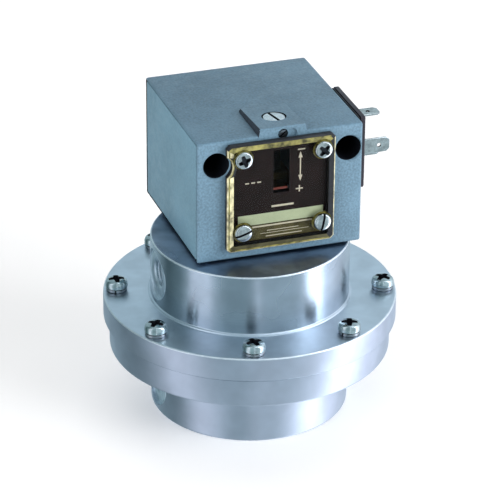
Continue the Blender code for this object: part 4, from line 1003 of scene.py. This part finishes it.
def build_scale_marks():
    """Printed zones and signs, as thin raised film: a minus, a double arrow, a plus and plain bars."""
    film = SCALE_FRONT_Y - 0.05 * MM
    foot = WINDOW_LOW.z + LABEL_INSET

    def bar(name, look, x0, x1, z0, z1, lift=0.0):
        shape = box((x0 * MM, film - lift, z0 * MM), (x1 * MM, SCALE_FRONT_Y + 0.1 * MM, z1 * MM))
        stand_for(add(name, shape, look), "switch_body", "scale_print")

    bar("v_mark_strip", "pale", -14.2, 24.6, 97.1, 102.1)
    bar("v_mark_zone", "olive", -14.2, 24.6, foot / MM + 0.2, 96.9)
    lines = (
        (-9.0, 19.5, 95.7, 96.4),
        (-1.0, 13.4, 93.5, 93.8),
        (-4.0, 18.0, 92.4, 92.6),
        (-1.5, 15.0, 90.8, 91.2),
    )
    for number, (x0, x1, z0, z1) in enumerate(lines, start=1):
        bar(f"v_mark_line_{number}", "mark", x0, x1, z0, z1, 0.04 * MM)
    bar("v_mark_minus", "mark", 12.6, 15.9, 129.85, 130.4)
    bar("v_mark_plus_1", "mark", 11.9, 15.1, 111.35, 111.9)
    bar("v_mark_plus_2", "mark", 13.25, 13.8, 110.1, 113.15, 0.02 * MM)
    bar("v_mark_shaft", "mark", 13.6, 14.1, 117.4, 126.9)
    for name, tip, base in (("v_mark_head_up", 129.0, 126.2), ("v_mark_head_down", 115.2, 118.0)):
        outline = [(12.9 * MM, base * MM), (14.8 * MM, base * MM), (13.85 * MM, tip * MM)]
        head = plate(outline, 1, film - 0.02 * MM, SCALE_FRONT_Y + 0.1 * MM)
        stand_for(add(name, head, "mark"), "switch_body", "scale_print")
    for number, x in enumerate((-11.0, -8.3, -5.6), start=1):
        bar(f"v_mark_dash_{number}", "mark", x, x + 1.7, 116.9, 117.5)
    bar("v_mark_name_bar", "mark", 1.0, 11.0, 104.4, 105.3)


def build_window_screws():
    # The cross recesses are cut in steel coloured as painted shade
    cross = pan_screw_mesh(*M4_SCREW, cross_cutter, 0.75, "zinc", "dark_steel")
    slotted = pan_screw_mesh(*M4_SCREW, slot_cutter, 0.55, "zinc")
    turns = ((cross, 20), (cross, 48), (slotted, 17), (slotted, 79))
    for node, (mesh, spin) in zip(window_screws(), turns):
        place_screw(node, mesh, TOWARDS_FRONT, math.radians(spin))


# ---------------------------------------------------------------- setting gear


def build_spindle():
    low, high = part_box("setting_spindle")
    head_low = high.z - SPINDLE_HEAD_HEIGHT
    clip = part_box("spindle_retainer")
    groove_low, groove_high = clip[0].z, clip[1].z
    end = 0.6 * MM
    profile = [(0, low.z), (SPINDLE_RADIUS - end, low.z), (SPINDLE_RADIUS, low.z + end)]
    z = low.z + MM
    while z < groove_low - 2 * MM:
        profile += [(SPINDLE_RADIUS, z), (SPINDLE_ROOT, z + 0.5 * MM)]
        z += MM
    profile += [(SPINDLE_RADIUS, z), (SPINDLE_RADIUS, groove_low - GAP)]
    profile += [(SPINDLE_GROOVE, groove_low - GAP), (SPINDLE_GROOVE, groove_high + GAP)]
    profile += [(SPINDLE_RADIUS, groove_high + GAP), (SPINDLE_RADIUS, head_low)]
    profile += [(SPINDLE_HEAD, head_low), (SPINDLE_HEAD, high.z - 0.45 * MM)]
    profile += [(SPINDLE_HEAD - 0.15 * MM, high.z - 0.12 * MM), (SPINDLE_HEAD - 0.5 * MM, high.z)]
    profile += [(0, high.z)]
    spindle = add("v_setting_spindle", lathe(profile, 64), ["bright", "dark_steel"])
    # The spindle below the groove, inside the housing, is steel coloured as painted shade
    tag_faces(spindle.data, 1, lambda face: face.center.z < groove_low)
    cutter = slot_cutter(SPINDLE_HEAD, high.z, 1.2 * MM)
    cutter.transform(Matrix.Rotation(SPINDLE_SLOT_TURN, 4, "Z"))
    # The driver slot is cut in painted shade
    carve(spindle, cuts=[cutter], looks=["shade"])
    spindle.location = (SPINDLE.x, SPINDLE.y, 0)
    stand_for(spindle, "spindle", "steel", "setting_spindle")


def build_running_nut():
    low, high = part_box("running_nut")
    left, right = SPINDLE.x - NUT_HALF, SPINDLE.x + NUT_HALF
    front, back = SPINDLE.y - NUT_HALF, SPINDLE.y + NUT_HALF
    block = box((left, front, low.z), (right, back, high.z), 0.4 * MM, 2)
    # The nut is brass coloured as painted shade, as it sits inside the housing
    nut = add("v_running_nut", block, "dark_brass")
    bore = moved(rod(3.25 * MM, low.z - MM, high.z + MM, 40), x=SPINDLE.x, y=SPINDLE.y)
    carve(nut, cuts=[bore])
    stand_for(nut, "nut", "brass", "running_nut")
    tip, root = low.y, front + 0.5 * MM
    corners = ((-1, tip), (1, tip), (1, root), (-1, root))
    shelf = [(POINTER_X + side * POINTER_HALF, y) for side, y in corners]
    # The pointer is brass coloured as painted shade, with its front face red
    pointer = add("v_pointer", plate(shelf, 2, *POINTER_LEVELS), ["dark_brass", "red"])
    tag_faces(pointer.data, 1, lambda face: face.normal.y < -0.9)
    stand_for(pointer, "nut", "brass")


def build_spring():
    low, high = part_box("setting_spring")
    wire = 0.55 * MM
    radius = 5.4 * MM
    turns = 5
    per_turn = 28
    sides = 10
    count = turns * per_turn
    start, end = low.z + wire, high.z - wire
    bm = bmesh.new()
    loops = []
    for i in range(count + 1):
        t = i / count
        angle = 2 * math.pi * turns * t
        outward = Vector((math.cos(angle), math.sin(angle), 0))
        centre = outward * radius + Vector((SPINDLE.x, SPINDLE.y, start + (end - start) * t))
        ring = []
        for k in range(sides):
            a = 2 * math.pi * k / sides
            upward = Vector((0, 0, wire * math.sin(a)))
            ring.append(bm.verts.new(centre + outward * wire * math.cos(a) + upward))
        loops.append(ring)
    for first, second in zip(loops, loops[1:]):
        for k in range(sides):
            j = (k + 1) % sides
            bm.faces.new((first[k], first[j], second[j], second[k]))
    bm.faces.new(loops[0])
    bm.faces.new(loops[-1])
    spring = add("v_setting_spring", bm, "spring", angle=60)
    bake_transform(spring)
    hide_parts("setting_spring")


def build_locking_screw():
    low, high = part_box("locking_screw")
    radius = LOCK_RADIUS
    profile = [(0, low.y), (radius - 0.4 * MM, low.y), (radius, low.y + 0.4 * MM)]
    y = low.y + LOCK_PITCH
    while y < high.y - 0.6 * MM:
        profile += [(radius, y), (radius * 0.86, y + LOCK_PITCH / 2)]
        y += LOCK_PITCH
    profile += [(radius * 0.8, high.y), (0, high.y)]
    screw = add("v_locking_screw", lathe(profile, 40, ALONG_Y), "spring")
    reach, half, depth = 2.6 * MM, 0.32 * MM, 0.9 * MM
    cutter = box((-reach, low.y - MM, -half), (reach, low.y + depth, half))
    cutter.transform(Matrix.Rotation(LOCK_SLOT_TURN, 4, "Y"))
    # The driver slot is cut in painted shade
    carve(screw, cuts=[cutter], looks=["shade"])
    screw.location = (LOCK_X, 0, LOCK_Z)
    stand_for(screw, "lock_grub", "steel", "locking_screw")


# ---------------------------------------------------------------- plug


def build_plug():
    for node, look, slot, bevel in (
        ("plug_gasket", "rubber", "rubber", 0.2 * MM),
        ("plug_base", "black", "black_plastic", 0.35 * MM),
    ):
        low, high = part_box(node)
        corner = 1.0 * MM
        corners = [(low.y, low.z), (high.y, low.z), (high.y, high.z), (low.y, high.z)]
        outline = eased([(y, z, corner) for y, z in corners])
        slab = add("v_" + node, plate(outline, 0, low.x, high.x, bevel), look)
        carve(slab, cuts=plug_cuts(node, low.x, high.x))
        stand_for(slab, "switch_body", slot, node)
    for node, degrees in BLADE_TURNS.items():
        build_blade(node, math.radians(degrees))


def plug_cuts(node, left, right):
    """Screw holes, and the openings for the leads or for the blades and their centre screw."""
    cuts = []
    for screw in ("plug_screw_1", "plug_screw_2"):
        _, y, z = middle_of(screw)
        cuts.append(moved(rod(M3_HOLE, left - MM, right + MM, 24, ALONG_X), y=y, z=z))
        if node == "plug_base":
            sink = rod(M3_HEAD_HOLE, right - M3_HEAD_SINK, right + MM, 32, ALONG_X)
            cuts.append(moved(sink, y=y, z=z))
    if node == "plug_gasket":
        y, z = PLUG_MIDDLE.y, PLUG_MIDDLE.z
        return cuts + [box((left - MM, y - 7 * MM, z - 12 * MM), (right + MM, y + 7 * MM, z - 3 * MM))]
    centre_hole = rod(CENTRE_HOLE, left - MM, right + MM, 32, ALONG_X)
    cuts.append(moved(centre_hole, y=BLADES_MIDDLE.y, z=BLADES_MIDDLE.z))
    for blade in BLADE_TURNS:
        near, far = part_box(blade)
        cuts.append(box((left - MM, near.y - GAP, near.z - GAP), (right + MM, far.y + GAP, far.z + GAP)))
    return cuts


def build_blade(node, turn):
    """A tinned flat blade with clipped, thinned tip corners and a locking eye."""
    low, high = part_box(node)
    middle = (low + high) / 2
    half = 3.4 * MM
    thick = 0.4 * MM
    tip = 1.1 * MM
    outline = [
        (low.x, -half),
        (high.x - tip * 1.3, -half),
        (high.x - 0.2 * MM, -half + tip),
        (high.x, -half + tip * 1.5),
        (high.x, half - tip * 1.5),
        (high.x - 0.2 * MM, half - tip),
        (high.x - tip * 1.3, half),
        (low.x, half),
    ]
    blade = add("v_" + node, plate(outline, 2, -thick, thick, 0.12 * MM), "zinc")
    eye = moved(rod(0.95 * MM, -MM, MM, 28), x=high.x - 4.9 * MM)
    # The eye is cut in painted shade
    carve(blade, cuts=[eye], looks=["shade"])
    blade.data.transform(Matrix.Translation((0, middle.y, middle.z)) @ Matrix.Rotation(turn, 4, "X"))
    stand_for(blade, "switch_body", "steel", node)


# ---------------------------------------------------------------- CAD nodes kept as they are


SLOT_LOOKS = {
    "turned_aluminium": "turned",
    "hammered_paint": "paint",
    "steel": "zinc",
    "brass": "brass",
    "spring_steel": "spring",
    "rubber": "rubber",
    "black_plastic": "black",
    "white_plastic": "white",
    "clear_plastic": "clear",
    "scale_print": "label",
}


def dress_cad_nodes():
    """The inner pieces stay as the CAD has them, in the finish of their own material slot."""
    slots = {part["node"]: part["material_slot"] for part in frame["record"]["subparts"]}
    for name, obj in frame["nodes"].items():
        obj.data.materials.clear()
        obj.data.materials.append(MATS[SLOT_LOOKS[slots[name]]])


# ---------------------------------------------------------------- studio


# azimuth from -Y towards +X in degrees, and how bright the surroundings are there
SURROUNDINGS = (
    (-180, 0.62),
    (-150, 0.5),
    (-125, 0.16),
    (-104, 0.3),
    (-94, 0.6),
    (-86, 1.2),
    (-66, 1.2),
    (-57, 0.7),
    (-43, 0.5),
    (-22, 0.5),
    (-13, 0.7),
    (-9.5, 1.3),
    (-6, 0.7),
    (17, 0.7),
    (38, 0.73),
    (46, 0.9),
    (52, 3.9),
    (66, 3.9),
    (73, 1.7),
    (95, 1.15),
    (120, 0.88),
    (150, 0.74),
)
SHADE_TINT = Vector((0.52, 0.92, 1.03))
LIGHT_TINT = Vector((0.84, 0.92, 1.04))


def surroundings_seen_in_metal(tree):
    """A ring of soft bands round the object: what polished and turned metal mirrors."""
    where = add_node(tree, "ShaderNodeTexCoord").outputs["Generated"]
    around = add_node(tree, "ShaderNodeTexGradient", {0: where}, gradient_type="RADIAL").outputs["Fac"]
    bands = add_node(tree, "ShaderNodeValToRGB", {0: around})
    ramp = bands.color_ramp
    ramp.interpolation = "EASE"
    points = []
    for azimuth, level in SURROUNDINGS:
        position = ((azimuth - 90) / 360 + 0.5) % 1.0
        share = min(1.0, level / 1.1)
        points.append((position, (SHADE_TINT * (1 - share) + LIGHT_TINT * share) * level))
    points.sort(key=lambda item: item[0])
    while len(ramp.elements) < len(points):
        ramp.elements.new(0.5)
    for element, (position, colour) in zip(ramp.elements, points):
        element.position = position
        element.color = (*colour, 1.0)
    return bands.outputs["Color"]


def build_studio():
    world = bpy.data.worlds.new("studio")
    bpy.context.scene.world = world
    world.use_nodes = True
    tree = world.node_tree
    rays = add_node(tree, "ShaderNodeLightPath")
    mirrored = surroundings_seen_in_metal(tree)
    level = (0.3, 0.3, 0.3, 1.0)
    soft = {"Factor": rays.outputs["Is Glossy Ray"], "A": level, "B": mirrored}
    lit = add_node(tree, "ShaderNodeMix", soft, data_type="RGBA").outputs["Result"]
    seen = {"Factor": rays.outputs["Is Camera Ray"], "A": lit, "B": (1.0, 1.0, 1.0, 1.0)}
    plain = add_node(tree, "ShaderNodeMix", seen, data_type="RGBA")
    background = tree.nodes["Background"]
    tree.links.new(plain.outputs["Result"], background.inputs["Color"])
    lights = (
        ("key", (0.75, -0.8, 0.40), 0.8, 15.5),
        ("fill", (-0.9, -0.5, 0.3), 0.8, 9.6),
        ("top", (0.1, 0.5, 1.1), 1.0, 3.0),
        ("rear", (0.5, 1.0, 0.35), 0.6, 4.5),
    )
    for name, place, size, power in lights:
        data = bpy.data.lights.new(name, "AREA")
        data.size = size
        data.energy = power
        lamp = bpy.data.objects.new(name, data)
        lamp.location = place
        lamp.rotation_euler = (Vector((0, 0, 0.08)) - Vector(place)).to_track_quat("-Z", "Y").to_euler()
        lamp.visible_glossy = False
        bpy.context.scene.collection.objects.link(lamp)
    glow = {"Emission_Color": (1.0, 1.0, 1.0, 1.0), "Emission_Strength": 0.16}
    MATS["floor"] = surface("floor_look", (0.93, 0.93, 0.93), 0.7, 0.0, 0.01, 30.0, 0.01, 0.05, **glow)
    half, thickness, below = 1.0, 0.02, 0.2 * MM
    ground = add("floor", box((-half, -half, -thickness), (half, half, -below)), "floor")
    ground.visible_glossy = False


def build_camera():
    data = bpy.data.cameras.new("camera")
    data.lens = 214.3
    data.sensor_width = 36.0
    data.clip_start = 0.05
    data.clip_end = 20.0
    camera = bpy.data.objects.new("camera", data)
    place = Vector((-0.3800, -1.1047, 0.6691))
    target = Vector((0.0, 0.0, 0.0718))
    camera.location = place
    roll = Matrix.Rotation(math.radians(0.5), 4, "Z")
    aim = (target - place).to_track_quat("-Z", "Y").to_matrix().to_4x4()
    camera.rotation_euler = (aim @ roll).to_euler()
    bpy.context.scene.collection.objects.link(camera)
    bpy.context.scene.camera = camera


def main():
    dress_cad_nodes()
    build_lower_chamber()
    build_upper_chamber()
    build_flange_fasteners()
    build_housing()
    build_side_cover()
    build_window()
    build_spindle()
    build_running_nut()
    build_spring()
    build_locking_screw()
    build_plug()
    build_studio()
    build_camera()
    bpy.context.scene.view_settings.view_transform = "Standard"


main()
